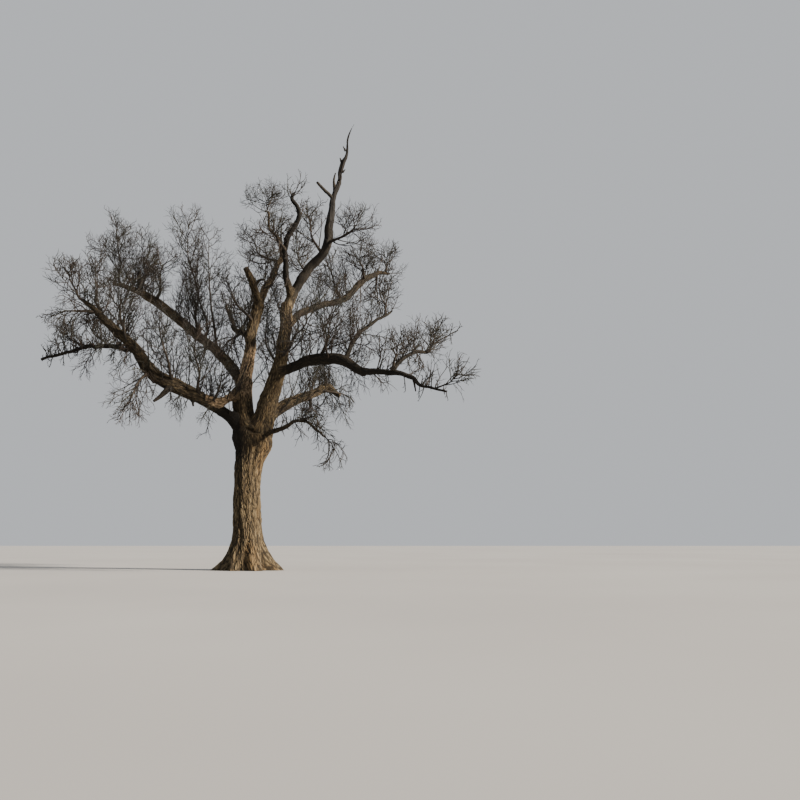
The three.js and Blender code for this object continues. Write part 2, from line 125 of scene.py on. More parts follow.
room = bpy.data.worlds.new("pale_room")
room.use_nodes = True
room.node_tree.nodes["Background"].inputs["Color"].default_value = ROOM_COLOUR
room.node_tree.nodes["Background"].inputs["Strength"].default_value = ROOM_STRENGTH
bpy.context.scene.world = room
lamp_height = np.degrees(np.arctan2(LAMP_FROM[2], np.hypot(*LAMP_FROM[:2])))
print("lamp stands", round(float(lamp_height)), "degrees high")

# %% [markdown]
# ## Nodes for finishes
#
# Each finish is a small tree of shader nodes. Two helpers keep the finishes readable: one adds a node and
# gives its sockets either a value or another node's output, and the other mixes two colours.

# %% Helpers for finishes


def node(tree, kind, *inputs, settings=(), **named):
    """Adds a shader node. Inputs are given in the order of its sockets, or by socket name; each is a plain
    value or the output of another node."""
    made = tree.nodes.new("ShaderNode" + kind)
    for key, value in dict(settings).items():
        setattr(made, key, value)
    given = [(made.inputs[place], value) for place, value in enumerate(inputs)]
    given += [(made.inputs[name.replace("_", " ")], value) for name, value in named.items()]
    for socket, value in given:
        if isinstance(value, bpy.types.NodeSocket):
            tree.links.new(value, socket)
        else:
            socket.default_value = value
    return made.outputs[0]


def mixed(tree, share, first, second):
    """Mixes two colours: share 0 is the first and share 1 the second."""
    made = tree.nodes.new("ShaderNodeMix")
    made.data_type = "RGBA"
    for place, value in ((0, share), (6, first), (7, second)):
        if isinstance(value, bpy.types.NodeSocket):
            tree.links.new(value, made.inputs[place])
        else:
            made.inputs[place].default_value = value
    return made.outputs[2]


def ramp(tree, value, *stops):
    """Turns a number from 0 to 1 into a colour that passes through the given stops of place and colour."""
    made = tree.nodes.new("ShaderNodeValToRGB")
    tree.links.new(value, made.inputs[0])
    band = made.color_ramp.elements
    while len(band) < len(stops):
        band.new(0.5)
    for element, (place, colour) in zip(band, stops):
        element.position = place
        element.color = colour
    return made.outputs[0]


def noise(tree, place, scale, detail, roughness=0.5):
    """Cloudy values round 0.5: so many clouds to the metre, and so many finer layers that are this
    strong."""
    return node(tree, "TexNoise", Vector=place, Scale=scale, Detail=detail, Roughness=roughness)


def window(tree, value, low, high):
    """A share that is 0 up to low, 1 from high on, and rises smoothly between."""
    return node(tree, "MapRange", value, low, high, 0.0, 1.0, settings={"interpolation_type": "SMOOTHSTEP"})


def times(tree, value, factor):
    """A value times a number, kept between 0 and 1."""
    return node(tree, "Math", value, factor, settings={"operation": "MULTIPLY", "use_clamp": True})


def grey(level):
    """A neutral colour."""
    return (level, level, level, 1)


def new_finish(name, roughness, specular=0.2):
    """An empty finish: its node tree and its surface shader, with the constants set on the shader itself."""
    finish = bpy.data.materials.new(name)
    finish.use_nodes = True
    surface = finish.node_tree.nodes["Principled BSDF"]
    surface.inputs["Roughness"].default_value = roughness
    surface.inputs["Specular IOR Level"].default_value = specular
    return finish, finish.node_tree, surface


def object_place(tree):
    """A point's place in metres. Every object stands at the origin, so this is its place on the tree."""
    return tree.nodes.new("ShaderNodeTexCoord").outputs["Object"]


helpers = (node, mixed, ramp, noise, window, times, grey, new_finish, object_place)
print("helpers:", [helper.__name__ for helper in helpers])

# %% [markdown]
# ## Floor
#
# The floor only has to take the tree's shadow. A flat square of plain plaster does that, and it is declared
# as stage, so that it isn't counted as a piece of the tree. It lies a little under the cut, so that the two
# surfaces don't flicker into each other.

# %% Floor
FLOOR_HALF = 160
FLOOR_LEVEL = -0.004


def floor_finish():
    """Plain pale plaster: two close greys in a slow noise."""
    finish, tree, surface = new_finish("pale_floor", 0.9)
    cloud = noise(tree, object_place(tree), 0.08, 3.0)
    tree.links.new(ramp(tree, cloud, (0.3, grey(0.27)), (0.7, grey(0.3))), surface.inputs["Base Color"])
    return finish


floor_mesh = bpy.data.meshes.new("floor")
corners = [(x * FLOOR_HALF, y * FLOOR_HALF, FLOOR_LEVEL) for x, y in ((-1, -1), (1, -1), (1, 1), (-1, 1))]
floor_mesh.from_pydata(corners, [], [(0, 1, 2, 3)])
floor = bpy.data.objects.new("floor", floor_mesh)
floor_mesh.materials.append(floor_finish())
bpy.context.scene.collection.objects.link(floor)
floor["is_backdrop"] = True
print("floor:", 2 * FLOOR_HALF, "m square")

# %% [markdown]
# ## The framework's bends
#
# An oak's limb is crooked: it bends each time a leading shoot died and a side shoot took over. So a limb is
# given by its few bends, each a place and a radius, and a smooth course through them. These are the sizes
# that the solids are made from.

# %% Bends of the trunk and limbs: x, y, z and the radius there
LIMBS = {
    "trunk": [
        (0, 0, 0, 0.69), (-0.05, 0, 1.85, 0.65), (-0.1, 0, 3.3, 0.61), (-0.1, 0, 4.7, 0.64),
        (0.05, 0, 5.8, 0.78), (0, 0, 6.5, 0.9),
    ],
    "left_leader": [
        (-0.25, 0, 6.25, 0.58), (-0.52, 0.15, 7.9, 0.48), (-0.52, 0.4, 9.1, 0.385),
        (-0.4, 0.7, 10.4, 0.29), (-0.35, 1, 11.75, 0.265), (-0.1, 1.3, 13.3, 0.285),
    ],
    "right_leader": [
        (0.4, 0, 6.35, 0.56), (0.7, -0.2, 7.7, 0.47), (1, -0.4, 8.65, 0.4), (1.35, -0.6, 9.65, 0.34),
        (1.55, -0.7, 10.75, 0.305), (1.65, -0.6, 12.8, 0.26),
    ],
    "low_left_bough": [
        (-0.5, 0, 6.75, 0.315), (-1.25, -0.5, 7.4, 0.25), (-1.95, -1, 7.85, 0.27),
        (-2.85, -1.65, 8.3, 0.335), (-4.1, -2.45, 8.85, 0.305),
    ],
    "short_right_bough": [
        (0.55, -0.2, 6.9, 0.34), (1.13, 0.5, 7.73, 0.285), (1.85, 1.3, 8.32, 0.255), (2.6, 2, 8.75, 0.22),
        (3.36, 2.7, 9.26, 0.2), (3.99, 3.1, 8.89, 0.12),
    ],
    "left_stub": [
        (0, 1.3, 13.2, 0.205), (-0.2, 0.9, 13.85, 0.19), (-0.35, 0.5, 14.4, 0.18),
        (-0.6, 0.2, 14.95, 0.14),
    ],
    "left_leader_top": [
        (-0.15, 1.25, 13.05, 0.22), (0.15, 1.9, 14.4, 0.195), (0.45, 2.4, 15.4, 0.16),
        (0.75, 3, 16.6, 0.135), (0.5, 3.4, 17.75, 0.095), (0, 3.6, 18.4, 0.08),
        (-0.15, 3.8, 19.5, 0.055),
    ],
    "dead_spire": [
        (1.65, -0.6, 12.55, 0.245), (2, -0.6, 13.5, 0.235), (2.7, -0.7, 14.6, 0.22),
        (3.35, -0.8, 15.25, 0.215), (3.6, -0.8, 16.05, 0.205), (3.78, -0.7, 17.65, 0.175),
        (3.9, -0.6, 18.4, 0.15), (4.05, -0.6, 19.2, 0.115), (4.28, -0.6, 20, 0.125),
        (4.43, -0.7, 20.7, 0.08), (4.6, -0.8, 21.6, 0.05), (4.85, -0.8, 22.25, 0.02),
    ],
    "hooked_leader": [
        (1.85, -0.6, 13.2, 0.185), (1.7, -1.3, 14, 0.145), (1.7, -2, 14.75, 0.125),
        (1.9, -2.5, 15.4, 0.125), (2.5, -3, 16.4, 0.105), (2.15, -3.2, 17.1, 0.08),
        (2.25, -3.2, 17.45, 0.045),
    ],
    "upper_left_bough": [
        (-0.55, 0.4, 8.95, 0.295), (-1.35, 1, 10.05, 0.265), (-2.35, 1.7, 11.05, 0.245),
        (-3.45, 2.4, 12, 0.235), (-5.75, 3.6, 13.95, 0.245), (-6.7, 4, 14.6, 0.22),
        (-7.85, 4.4, 15.25, 0.14), (-8.9, 4.6, 15.55, 0.075),
    ],
    "low_left_bough_end": [
        (-3.95, -2.35, 8.7, 0.3), (-4.4, -2.75, 9.25, 0.275), (-4.9, -3.2, 10.05, 0.235),
        (-5.55, -3.6, 10.65, 0.205), (-6.15, -3.9, 11.25, 0.16), (-6.9, -4.1, 11.9, 0.08),
    ],
    "grafted_arm": [
        (-0.6, 0.3, 8.8, 0.27), (-1, -0.3, 8.25, 0.205), (-1.45, -0.9, 7.9, 0.19),
        (-2, -1.2, 8, 0.19),
    ],
    "far_left_arm": [
        (-4.7, -2.9, 9.7, 0.135), (-5.45, -2.4, 10.14, 0.11), (-7.49, -1.2, 10.53, 0.1),
        (-8.73, -0.6, 10.45, 0.085), (-10.46, 0, 10.17, 0.065),
    ],
    "mid_right_bough": [
        (1.2, -0.5, 9.4, 0.24), (2.09, -1.2, 9.5, 0.225), (2.88, -1.9, 9.67, 0.255),
        (3.75, -2.6, 9.59, 0.27), (4.51, -3.2, 9.42, 0.245), (5.65, -3.9, 8.67, 0.165),
    ],
    "mid_right_bough_end": [
        (5.44, -3.8, 8.79, 0.16), (6.34, -4.3, 8.64, 0.13), (7.28, -4.8, 8.49, 0.11),
        (8.06, -5.1, 7.91, 0.065), (8.53, -5.2, 7.76, 0.055), (9.16, -5.5, 7.54, 0.04),
    ],
    "right_fork_arm": [
        (6.88, -4.6, 8.61, 0.09), (7.28, -4.1, 9.21, 0.085), (7.75, -3.7, 9.64, 0.08),
        (8.46, -3.2, 9.77, 0.075), (8.83, -2.9, 10.21, 0.04), (9.9, -2.2, 11.05, 0.025),
    ],
    "inner_right_arm": [
        (4.78, -3.3, 9.38, 0.11), (4.94, -2.8, 10.26, 0.105), (5.42, -2.2, 11.05, 0.095),
        (6.81, -1.2, 12.29, 0.045),
    ],
    "upper_right_bough": [
        (1.55, -0.6, 11.5, 0.22), (2.14, 0, 12.44, 0.175), (3, 0.8, 13.14, 0.155),
        (3.98, 1.7, 13.65, 0.16), (4.62, 2.4, 14.35, 0.17), (5.25, 3.1, 15.27, 0.165),
        (5.95, 3.6, 15.83, 0.12), (6.56, 4, 15.95, 0.075),
    ],
    "drooping_bough": [
        (0.6, 0, 6.45, 0.135), (1.55, -1, 6.57, 0.105), (2.47, -2, 6.81, 0.075), (3.22, -2.8, 6.54, 0.06),
        (3.81, -3.4, 5.92, 0.04),
    ],
    "back_bough": [
        (-0.4, 0.9, 11.5, 0.165), (-1.05, 2.4, 12.15, 0.145), (-1.8, 4, 12.75, 0.125),
        (-2.95, 6.6, 14.85, 0.065),
    ],
}
print(len(LIMBS), "limbs with", sum(len(bends) for bends in LIMBS.values()), "bends")

# %% [markdown]
# ## Snags, ridges and burrs
#
# A snag is a broken stub that its limb carries: what is left of a branch that died. The trunk has the ridges
# of its roots round its foot, and burrs under its fork where it has healed over lost branches. Its bark also
# stands in a dozen main ribs that are broad enough to show in its outline.

# %% Snags by their bends, and the trunk's own forms
SNAGS = {
    "low_left_bough": [
        [(-3.4, -2, 8.45, 0.165), (-3.65, -2.4, 8.05, 0.115), (-3.95, -2.8, 7.6, 0.055)],
        [(-2.62, -1.5, 8.15, 0.11), (-2.55, -1.5, 7.85, 0.075), (-2.5, -1.5, 7.6, 0.045)],
    ],
    "short_right_bough": [
        [(2.54, 2, 8.69, 0.1), (2.59, 2.05, 8.37, 0.085), (2.61, 2.05, 8.15, 0.065)],
    ],
    "left_stub": [
        [(-0.25, 0.7, 14.1, 0.09), (0.02, 0.7, 14.45, 0.07), (0.25, 0.72, 14.52, 0.055)],
    ],
    "dead_spire": [
        [(3.88, -0.6, 18.25, 0.085), (3.5, -1, 18.55, 0.08), (3.11, -1.4, 18.81, 0.06)],
        [(3.9, -0.62, 18.7, 0.07), (3.88, -0.74, 19.2, 0.055), (3.95, -0.78, 19.6, 0.03)],
        [(4.43, -0.72, 20.83, 0.045), (4.37, -0.74, 20.95, 0.035), (4.32, -0.76, 21.06, 0.02)],
        [(4.29, -0.65, 20.1, 0.07), (4.22, -0.68, 20.28, 0.05), (4.17, -0.7, 20.45, 0.03)],
        [(4.3, -0.62, 19.71, 0.05), (4.37, -0.66, 19.77, 0.035), (4.43, -0.7, 19.84, 0.02)],
        [(4.1, -0.62, 19.25, 0.05), (4.19, -0.75, 19.28, 0.035), (4.23, -0.8, 19.37, 0.02)],
    ],
    "upper_left_bough": [
        [(-7.15, 4.1, 14.85, 0.12), (-7.1, 3.9, 15.45, 0.115), (-7.2, 3.7, 15.95, 0.085)],
    ],
    "mid_right_bough_end": [
        [(7.79, -5, 8.14, 0.05), (7.83, -4.9, 7.9, 0.04), (7.87, -4.9, 7.66, 0.025)],
    ],
}

# Where the trunk's fork begins to round over, and how far it rises above that
FORK_LEVEL = 6.2
FORK_RISE = 0.87

# The ridges of the roots round the trunk's foot: bearing in degrees from +X, seen from above, and reach
BUTTRESSES = [(2, 1.2), (58, 0.65), (122, 0.7), (184, 0.8), (236, 0.55), (304, 0.7)]
BUTTRESS_HEIGHT = 2.0
BUTTRESS_WIDTH = 24

# Burrs under the fork: bearing, height, swell, width in degrees and half-depth
BURRS = [(345, 5.9, 0.22, 40, 0.52), (190, 6.15, 0.11, 35, 0.38), (90, 5.6, 0.12, 45, 0.6)]

# The main ribs of the bark: their count, height in metres, lean in degrees for each metre up, waver in
# degrees and the metres in which it repeats, how uneven they are, how far above the fork they end, and the
# metres in which they fade before that
RIBS = {
    "count": 12, "height": 0.026, "lean": 3.4, "waver": 7, "pace": 2.3, "uneven": 0.45, "above_fork": 0.1,
    "fade": 0.9,
}
snag_count = sum(len(snags) for snags in SNAGS.values())
print(snag_count, "snags,", len(BUTTRESSES), "ridges and", len(BURRS), "burrs")

# %% [markdown]
# ## Smooth courses
#
# A polyline through the bends would show corners, and one big spline would overshoot. The Catmull-Rom curve
# passes through every bend and only looks at its neighbours, so it stays as crooked as the bends say. The
# radius is a fourth coordinate of the same curve.

# %% Courses and the frames along them
SIDEWAYS = np.array([0.6, -0.8, 0.0])
FINE_SHARES = np.linspace(0, 1, 801)
LEAST_ROWS = 6


def unit(vectors):
    """Each vector divided by its own length."""
    return vectors / np.linalg.norm(vectors, axis=-1, keepdims=True)


def on_course(bends, shares):
    """The places at shares 0 to 1 of the way, counted in bends. Between bends b and c, with neighbours a
    and d, the course is the cubic that leaves b with slope (c - a) / 2 and reaches c with slope (d - b) /
    2. Past either end a bend is mirrored. Works on one list of bends, or on many with their own shares."""
    bends, shares = np.asarray(bends, float), np.asarray(shares, float)
    before = 2 * bends[..., :1, :] - bends[..., 1:2, :]
    after = 2 * bends[..., -1:, :] - bends[..., -2:-1, :]
    padded = np.concatenate([before, bends, after], axis=-2)
    stage = np.clip(shares, 0, 1) * (bends.shape[-2] - 1)
    first = np.minimum(stage.astype(int), bends.shape[-2] - 2)
    a, b, c, d = (np.take_along_axis(padded, (first + step)[..., None], axis=-2) for step in range(4))
    t = (stage - first)[..., None]
    leave, reach = (c - a) / 2, (d - b) / 2
    return b + leave * t + (3 * (c - b) - 2 * leave - reach) * t**2 + (2 * (b - c) + leave + reach) * t**3


def even_shares(bends, spacing):
    """Shares that step along a course in equal lengths near the given spacing, and the length at each."""
    steps = np.linalg.norm(np.diff(on_course(bends, FINE_SHARES)[:, :3], axis=0), axis=1)
    length = np.concatenate([[0], np.cumsum(steps)])
    even = np.linspace(0, length[-1], max(LEAST_ROWS, round(length[-1] / spacing)) + 1)
    return np.interp(even, length, FINE_SHARES), even


def frames_along(places):
    """For paths of places (..., steps, 3): the way along, and two ways square to it that are carried on
    without twist. Each takes the one before it, less its part along the path, at unit length."""
    along = unit(np.gradient(places, axis=-2))
    across = np.empty_like(places)
    last = np.broadcast_to(SIDEWAYS, places[..., 0, :].shape)
    for step in range(places.shape[-2]):
        forward = along[..., step, :]
        last = unit(last - forward * np.sum(last * forward, axis=-1, keepdims=True))
        across[..., step, :] = last
    return along, across, np.cross(along, across)


for limb in ("left_leader", "upper_left_bough"):
    print(limb, "is", round(float(even_shares(LIMBS[limb], 0.1)[1][-1]), 2), "m long")

# %% [markdown]
# ## Chance that repeats
#
# A tree needs chance, but the same chance at each run and the same as in the solids, or the fine twigs
# would not lie on the coarse ones. So chance is worked out: a whole number, the seed, and a salt that
# tells one use from another are scrambled to a number that looks random.

# %% Repeatable chance and soft noise
LAYER_SHIFT = 17.3
LOW_BITS = np.uint64(0xFFFFFFFF)
STRIDES = np.array([73856093, 19349663, 83492791], np.uint64)
CORNERS = np.array([(x, y, z) for x in (0, 1) for y in (0, 1) for z in (0, 1)])
NEIGHBOURS = np.array([(x, y, z) for x in (-1, 0, 1) for y in (-1, 0, 1) for z in (-1, 0, 1)])


def scramble(seed, salt):
    """Mixes whole numbers below 2 to the 32 with a salt: shifts, exclusive ors and two multiplications."""
    seed, salt = np.atleast_1d(seed).astype(np.uint64), np.atleast_1d(salt).astype(np.uint64)
    bits = seed ^ (salt * np.uint64(0x9E3779B9) & LOW_BITS)
    bits = (bits ^ bits >> np.uint64(16)) * np.uint64(0x7FEB352D) & LOW_BITS
    bits = (bits ^ bits >> np.uint64(15)) * np.uint64(0x846CA68B) & LOW_BITS
    return bits ^ bits >> np.uint64(16)


def chance(seed, salt):
    """A repeatable number from 0 to 1."""
    return scramble(seed, salt) / 2.0**32


def leaning(seed, salt):
    """A repeatable number from -1 to 1."""
    return 2 * chance(seed, salt) - 1


def corner_chance(corners, salt):
    """A repeatable number from 0 to 1 for each whole-number corner of space."""
    counts = corners.astype(np.int64).astype(np.uint64) * STRIDES
    return chance((counts[..., 0] ^ counts[..., 1] ^ counts[..., 2]) & LOW_BITS, salt)


def soft_noise(places, salt):
    """Smooth values from -1 to 1. Each corner of a unit grid has its own number, and a place between corners
    takes their mean, weighted along each direction by the fade 6t^5 - 15t^4 + 10t^3."""
    corner = np.floor(places)
    t = places - corner
    fade = t * t * t * (t * (6 * t - 15) + 10)
    total = 0
    for step in CORNERS:
        weight = np.prod(np.where(step, fade, 1 - fade), axis=-1)
        total = total + weight * corner_chance(corner + step, salt)
    return 2 * total - 1


def layered_noise(places, salt, layers=3):
    """Soft noise at several scales, each twice as fine and half as strong as the one before."""
    return sum(
        soft_noise(places * 2**layer + LAYER_SHIFT * layer, salt + layer) / 2**layer
        for layer in range(layers)
    )


def smooth_window(values, low, high):
    """0 up to low, 1 from high on, and 3t^2 - 2t^3 between."""
    t = np.clip((values - low) / (high - low), 0, 1)
    return t * t * (3 - 2 * t)


print("three numbers of chance:", chance(np.array([1, 2, 3]), 1).round(3))

# %% [markdown]
# ## The bark's relief
#
# Old oak bark is a net of furrows that run up the stem and part and meet again, with thick plates between.
# It could be painted on with a bump, but its edges show in the outline, so it is a real relief. A Voronoi
# pattern stretched along the grain gives the plates, and the line between two of its cells the furrow. The
# pattern is worked out on the grain: the limb as it would be if it were straight, so that it never slides
# or swims at a bend. Broad ribs under the plates make the long streaks that show from far away.

# %% Bark relief
OLD_RADIUS = 0.65
PLATE_WIDTH = 0.066
PLATE_STRETCH = 6.0
PLATE_DRIFT = 0.55
DRIFT_PACE = 0.6
FURROW_EDGES = (0.02, 0.4)
FURROW_DEPTH = 0.03
PLATE_LEVEL = 0.65
CRUMBLE = 0.12
CRUMBLE_PACE = np.array([4, 4, 5])
RIB_WIDTH = 0.2
RIB_STRETCH = 9.0
RIB_HEIGHT = 0.02


def plate_pattern(places, salt):
    """One point is scattered in each cell of a unit grid. The result is the distance to the next nearest
    point less that to the nearest: 0 on the line between two plates, and growing to their middle."""
    cell = np.floor(places)
    nearest = np.full(places.shape[:-1], np.inf)
    second = nearest.copy()
    for step in NEIGHBOURS:
        other = cell + step
        point = np.stack([corner_chance(other, salt + axis) for axis in range(3)], axis=-1)
        distance = np.linalg.norm(other + point - places, axis=-1)
        second = np.minimum(second, np.maximum(nearest, distance))
        nearest = np.minimum(nearest, distance)
    return second - nearest


def bark_relief(grain, radius, salt):
    """How far bark stands out, in metres, and how deep in a furrow it is, 0 to 1. Age is the radius as a
    share of the trunk's. Plates are as wide as its square root, furrows as deep as age^0.6, ribs as wide
    as age^0.7 and as high as age. Noise shifts the pattern, so that no two plates are alike."""
    age = radius / OLD_RADIUS
    plate = PLATE_WIDTH * np.sqrt(age) * np.array([1, 1, PLATE_STRETCH])
    across = grain / plate
    drift = np.stack([layered_noise(DRIFT_PACE * across, salt + 10 * axis, 2) for axis in range(3)], axis=-1)
    plates = smooth_window(plate_pattern(across + PLATE_DRIFT * drift, salt + 40), *FURROW_EDGES)
    ribs = layered_noise(grain / (RIB_WIDTH * age**0.7 * np.array([1, 1, RIB_STRETCH])), salt + 50, 2)
    crumble = soft_noise(across * CRUMBLE_PACE, salt + 60)
    height = FURROW_DEPTH * age**0.6 * (plates - PLATE_LEVEL + CRUMBLE * crumble) + RIB_HEIGHT * age * ribs
    return height, 1 - plates


sample = bark_relief(np.random.default_rng(1).uniform(-1, 1, (2000, 3)), OLD_RADIUS, 5)[0]
print("bark stands from", sample.min().round(3), "to", sample.max().round(3), "m")

# %% [markdown]
# ## Dead wood's relief
#
# The spire has lost its bark high up and keeps it low down. Weathered wood has no plates: it has broad
# flutes, fibres that stand out where the softer wood has worn away, and splits where it shrank. They are
# noise and the same pattern as the bark's, drawn out much further along the grain.

# %% Relief of dead wood
FLUTES = {"size": np.array([0.9, 0.9, 9]), "height": 0.16}
FIBRES = {"size": np.array([0.02, 0.02, 0.5]), "height": 0.004}
SPLITS = {"size": np.array([0.13, 0.13, 1.6]), "shift_size": np.array([0.2, 0.2, 0.9]), "shift": 0.4,
          "width": 0.13, "depth": 0.12}
PATCHES = {"size": np.array([0.25, 0.25, 0.8]), "waver": 1.2, "from": 3.4, "to": 5.4, "salt": 7}


def bare_share(grain):
    """How far the dying spire has lost its bark: none low down, all of it high up, with patches between."""
    patch = layered_noise(grain / PATCHES["size"], PATCHES["salt"], 2)
    return smooth_window(grain[..., 2] + PATCHES["waver"] * patch, PATCHES["from"], PATCHES["to"])


def dying_relief(grain, radius, salt):
    """Bark low down that gives way to dead wood further on: flutes and splits in proportion to the radius,
    and fibres. A split lies on the lines of a pattern that is stretched twice as far as the bark's."""
    bark, furrow = bark_relief(grain, radius, salt)
    flutes = layered_noise(grain / (radius * FLUTES["size"]), salt, 2)
    fibres = soft_noise(grain / FIBRES["size"], salt + 20)
    shift = SPLITS["shift"] * soft_noise(grain / SPLITS["shift_size"], salt + 30)[..., None]
    pattern = plate_pattern(grain / SPLITS["size"] + shift, salt + 40)
    splits = 1 - smooth_window(pattern, 0, SPLITS["width"])
    wood = FLUTES["height"] * radius * flutes + FIBRES["height"] * fibres - SPLITS["depth"] * radius * splits
    bare = bare_share(grain)
    return bark * (1 - bare) + wood * bare, furrow * (1 - bare) + splits * bare


heights = np.stack([np.zeros(3), np.zeros(3), np.array([2, 4.4, 7])], axis=-1)
print("bare of bark at 2, 4.4 and 7 m:", bare_share(heights).round(2))

# %% [markdown]
# ## A skin from rings
#
# Trunk, limbs and snags are all one kind of surface: rings of points, row after row along a course, closed
# by a fan of triangles at each end. Only how far a ring's points stand from the course differs. Rows and
# sides are counted from the limb's own girth, so that each facet is about as large on every limb.

# %% Skins and meshes
SIDE_SPACING = 0.017
ROW_SPACING = 0.028


class Skin(NamedTuple):
    """Points in metres, their grain coordinates, how deep in a furrow and how bare each is, and faces."""

    places: np.ndarray
    grain: np.ndarray
    furrow: np.ndarray
    bare: np.ndarray
    quads: np.ndarray
    triangles: np.ndarray


def ring_faces(rows, sides):
    """Quads between rings, and triangles that close both ends on two more points, stored after the rings."""
    row, side = np.meshgrid(np.arange(rows - 1), np.arange(sides), indexing="ij")
    near, far = row * sides, (row + 1) * sides
    nxt = (side + 1) % sides
    quads = np.stack([near + side, near + nxt, far + nxt, far + side], axis=-1).reshape(-1, 4)
    ring = np.arange(sides)
    turned = (ring + 1) % sides
    root, tip, top = rows * sides, rows * sides + 1, (rows - 1) * sides
    first = np.stack([np.full(sides, root), turned, ring], axis=-1)
    last = np.stack([top + ring, top + turned, np.full(sides, tip)], axis=-1)
    return quads, np.concatenate([first, last])


def closed_skin(places, grain, furrow, bare):
    """A skin from values given on a grid of rows and sides. The points that close it are the means of its
    first and its last ring."""
    values = (places, grain, furrow, bare)
    ends = [np.stack([value[0].mean(axis=0), value[-1].mean(axis=0)]) for value in values]
    flat = [value.reshape(-1, *value.shape[2:]) for value in values]
    return Skin(*(np.concatenate(pair) for pair in zip(flat, ends)), *ring_faces(*furrow.shape))


def joined(skins):
    """Several skins as one, with each face's numbers moved on by the points that come before it."""
    starts = np.cumsum([0] + [len(skin.places) for skin in skins[:-1]])
    values = [np.concatenate([skin[field] for skin in skins]) for field in range(4)]
    quads = np.concatenate([skin.quads + start for skin, start in zip(skins, starts)])
    triangles = np.concatenate([skin.triangles + start for skin, start in zip(skins, starts)])
    return Skin(*values, quads, triangles)


def mesh_object(name, places, quads, triangles):
    """A smooth Blender object at the origin from arrays of points, four-sided and three-sided faces."""
    mesh = bpy.data.meshes.new(name)
    mesh.vertices.add(len(places))
    mesh.vertices.foreach_set("co", places.astype(np.float32).ravel())
    mesh.loops.add(quads.size + triangles.size)
    turns = np.concatenate([quads.ravel(), triangles.ravel()])
    mesh.loops.foreach_set("vertex_index", turns.astype(np.int32))
    mesh.polygons.add(len(quads) + len(triangles))
    starts = np.concatenate([4 * np.arange(len(quads)), quads.size + 3 * np.arange(len(triangles))])
    mesh.polygons.foreach_set("loop_start", starts.astype(np.int32))
    mesh.polygons.foreach_set("use_smooth", np.full(len(starts), True))
    mesh.update(calc_edges=True)
    piece = bpy.data.objects.new(name, mesh)
    bpy.context.scene.collection.objects.link(piece)
    return piece


def keep_value(piece, name, values):
    """Stores a number or a vector for each point, for the finish to read."""
    kind, field = ("FLOAT_VECTOR", "vector") if values.ndim == 2 else ("FLOAT", "value")
    stored = piece.data.attributes.new(name, kind, "POINT")
    stored.data.foreach_set(field, values.astype(np.float32).ravel())


print("a ring on the trunk has", round(2 * np.pi * OLD_RADIUS / SIDE_SPACING), "points")

# %% [markdown]
# ## Collars
#
# Where a limb leaves another, wood wraps round its root in a collar, and a bare joint between two tubes
# would look plumbed. To make one, each point's distance from the older limbs' skins is worked out. Close
# to them the young limb swells, and every point is then slid along the old skin so that its distance stays
# what it was. So the limb flares out to meet the old skin and nothing pokes through.

# %% Distance from limbs, and the collar
SKIN_STEPS = 48

# A collar's swell in radii of its limb, its reach in swells, and how sharply it rises
COLLAR_SWELL = 0.42
COLLAR_REACH = 1.7
COLLAR_CURVE = 2.2


def stretches(bends, last=1.0):
    """A limb's course as short straight stretches: the start of each and the way to its end, with radii."""
    line = on_course(bends, np.linspace(0, last, SKIN_STEPS + 1))
    return np.stack([line[:-1], np.diff(line, axis=0)])


def nearest_skin(places, lines):
    """Distance from the nearest limb's skin, below 0 inside it, and the way straight out of that limb. On
    every stretch the nearest point is where the place projects to, kept between the ends; the skin's
    distance is the distance to that point less the radius there."""
    start, way = lines[0], lines[1]
    offset = places[:, None, :] - start[None, :, :3]
    share = np.clip(np.sum(offset * way[:, :3], axis=-1) / np.sum(way[:, :3] ** 2, axis=-1), 0, 1)
    away = offset - share[..., None] * way[:, :3]
    length = np.linalg.norm(away, axis=-1)
    gap = length - (start[:, 3] + share * way[:, 3])
    best = np.argmin(gap, axis=1)
    rows = np.arange(len(places))
    return gap[rows, best], away[rows, best] / np.maximum(length[rows, best], 1e-6)[:, None]


def with_collar(places, outward, lines, swell):
    """Swells a limb's points near older skins by swell times (1 - gap / reach)^2.2, reach being 1.7
    swells, and slides them back to their own distance from the old skin. Only rows near an old skin are
    worked out."""
    reach = COLLAR_REACH * swell
    centres = places.mean(axis=1)
    girth = np.linalg.norm(places - centres[:, None], axis=-1).max(axis=1)
    near = nearest_skin(centres, lines)[0] < reach + girth
    if swell <= 0 or not near.any():
        return places
    close, away = places[near].reshape(-1, 3), outward[near].reshape(-1, 3)
    gap = nearest_skin(close, lines)[0]
    rise = swell * np.clip(1 - np.maximum(gap, 0) / reach, 0, 1) ** COLLAR_CURVE
    swollen = close + away * rise[:, None]
    new_gap, out = nearest_skin(swollen, lines)
    result = places.copy()
    result[near] = (swollen - out * (new_gap - gap)[:, None]).reshape(places[near].shape)
    return result


collar = COLLAR_REACH * COLLAR_SWELL * 0.3
print("a collar on a 0.3 m limb reaches", round(collar, 2), "m along the old skin")

# %% [markdown]
# ## Trunk
#
# The trunk is a stack of level rings, so that its foot is a flat cut. Its radius is the stem's own taper,
# plus the ridges of the roots that fade with the square of the height, plus the burrs and the main ribs.
# Smaller toes between the ridges, a fold under the fork where the right leader leans over the stem, and a
# rounded fork are added to what the plain solid has.

# %% Trunk skin
TOES = {"height": 1.3, "reach": 0.2, "count": 2.6, "rise": 0.35, "salt": 70}
FOLD = {
    "bearing": 296, "height": 6.5, "depth": 0.22, "width": 42, "thickness": 0.105, "tilt": -0.16,
    "ripple": 0.03, "ripples": 7,
}
LUMPS = {"height": 0.035, "pace": np.array([1.6, 1.6, 0.7]), "salt": 130}
TRUNK_RING = 296
TRUNK_ROW = 0.0225
DOME_ROWS = 42
DOME_TURN = 1.5
GRAIN_RADIUS = 0.75
GRAIN_TWIST = 0.1
TRUNK_SALT = 100


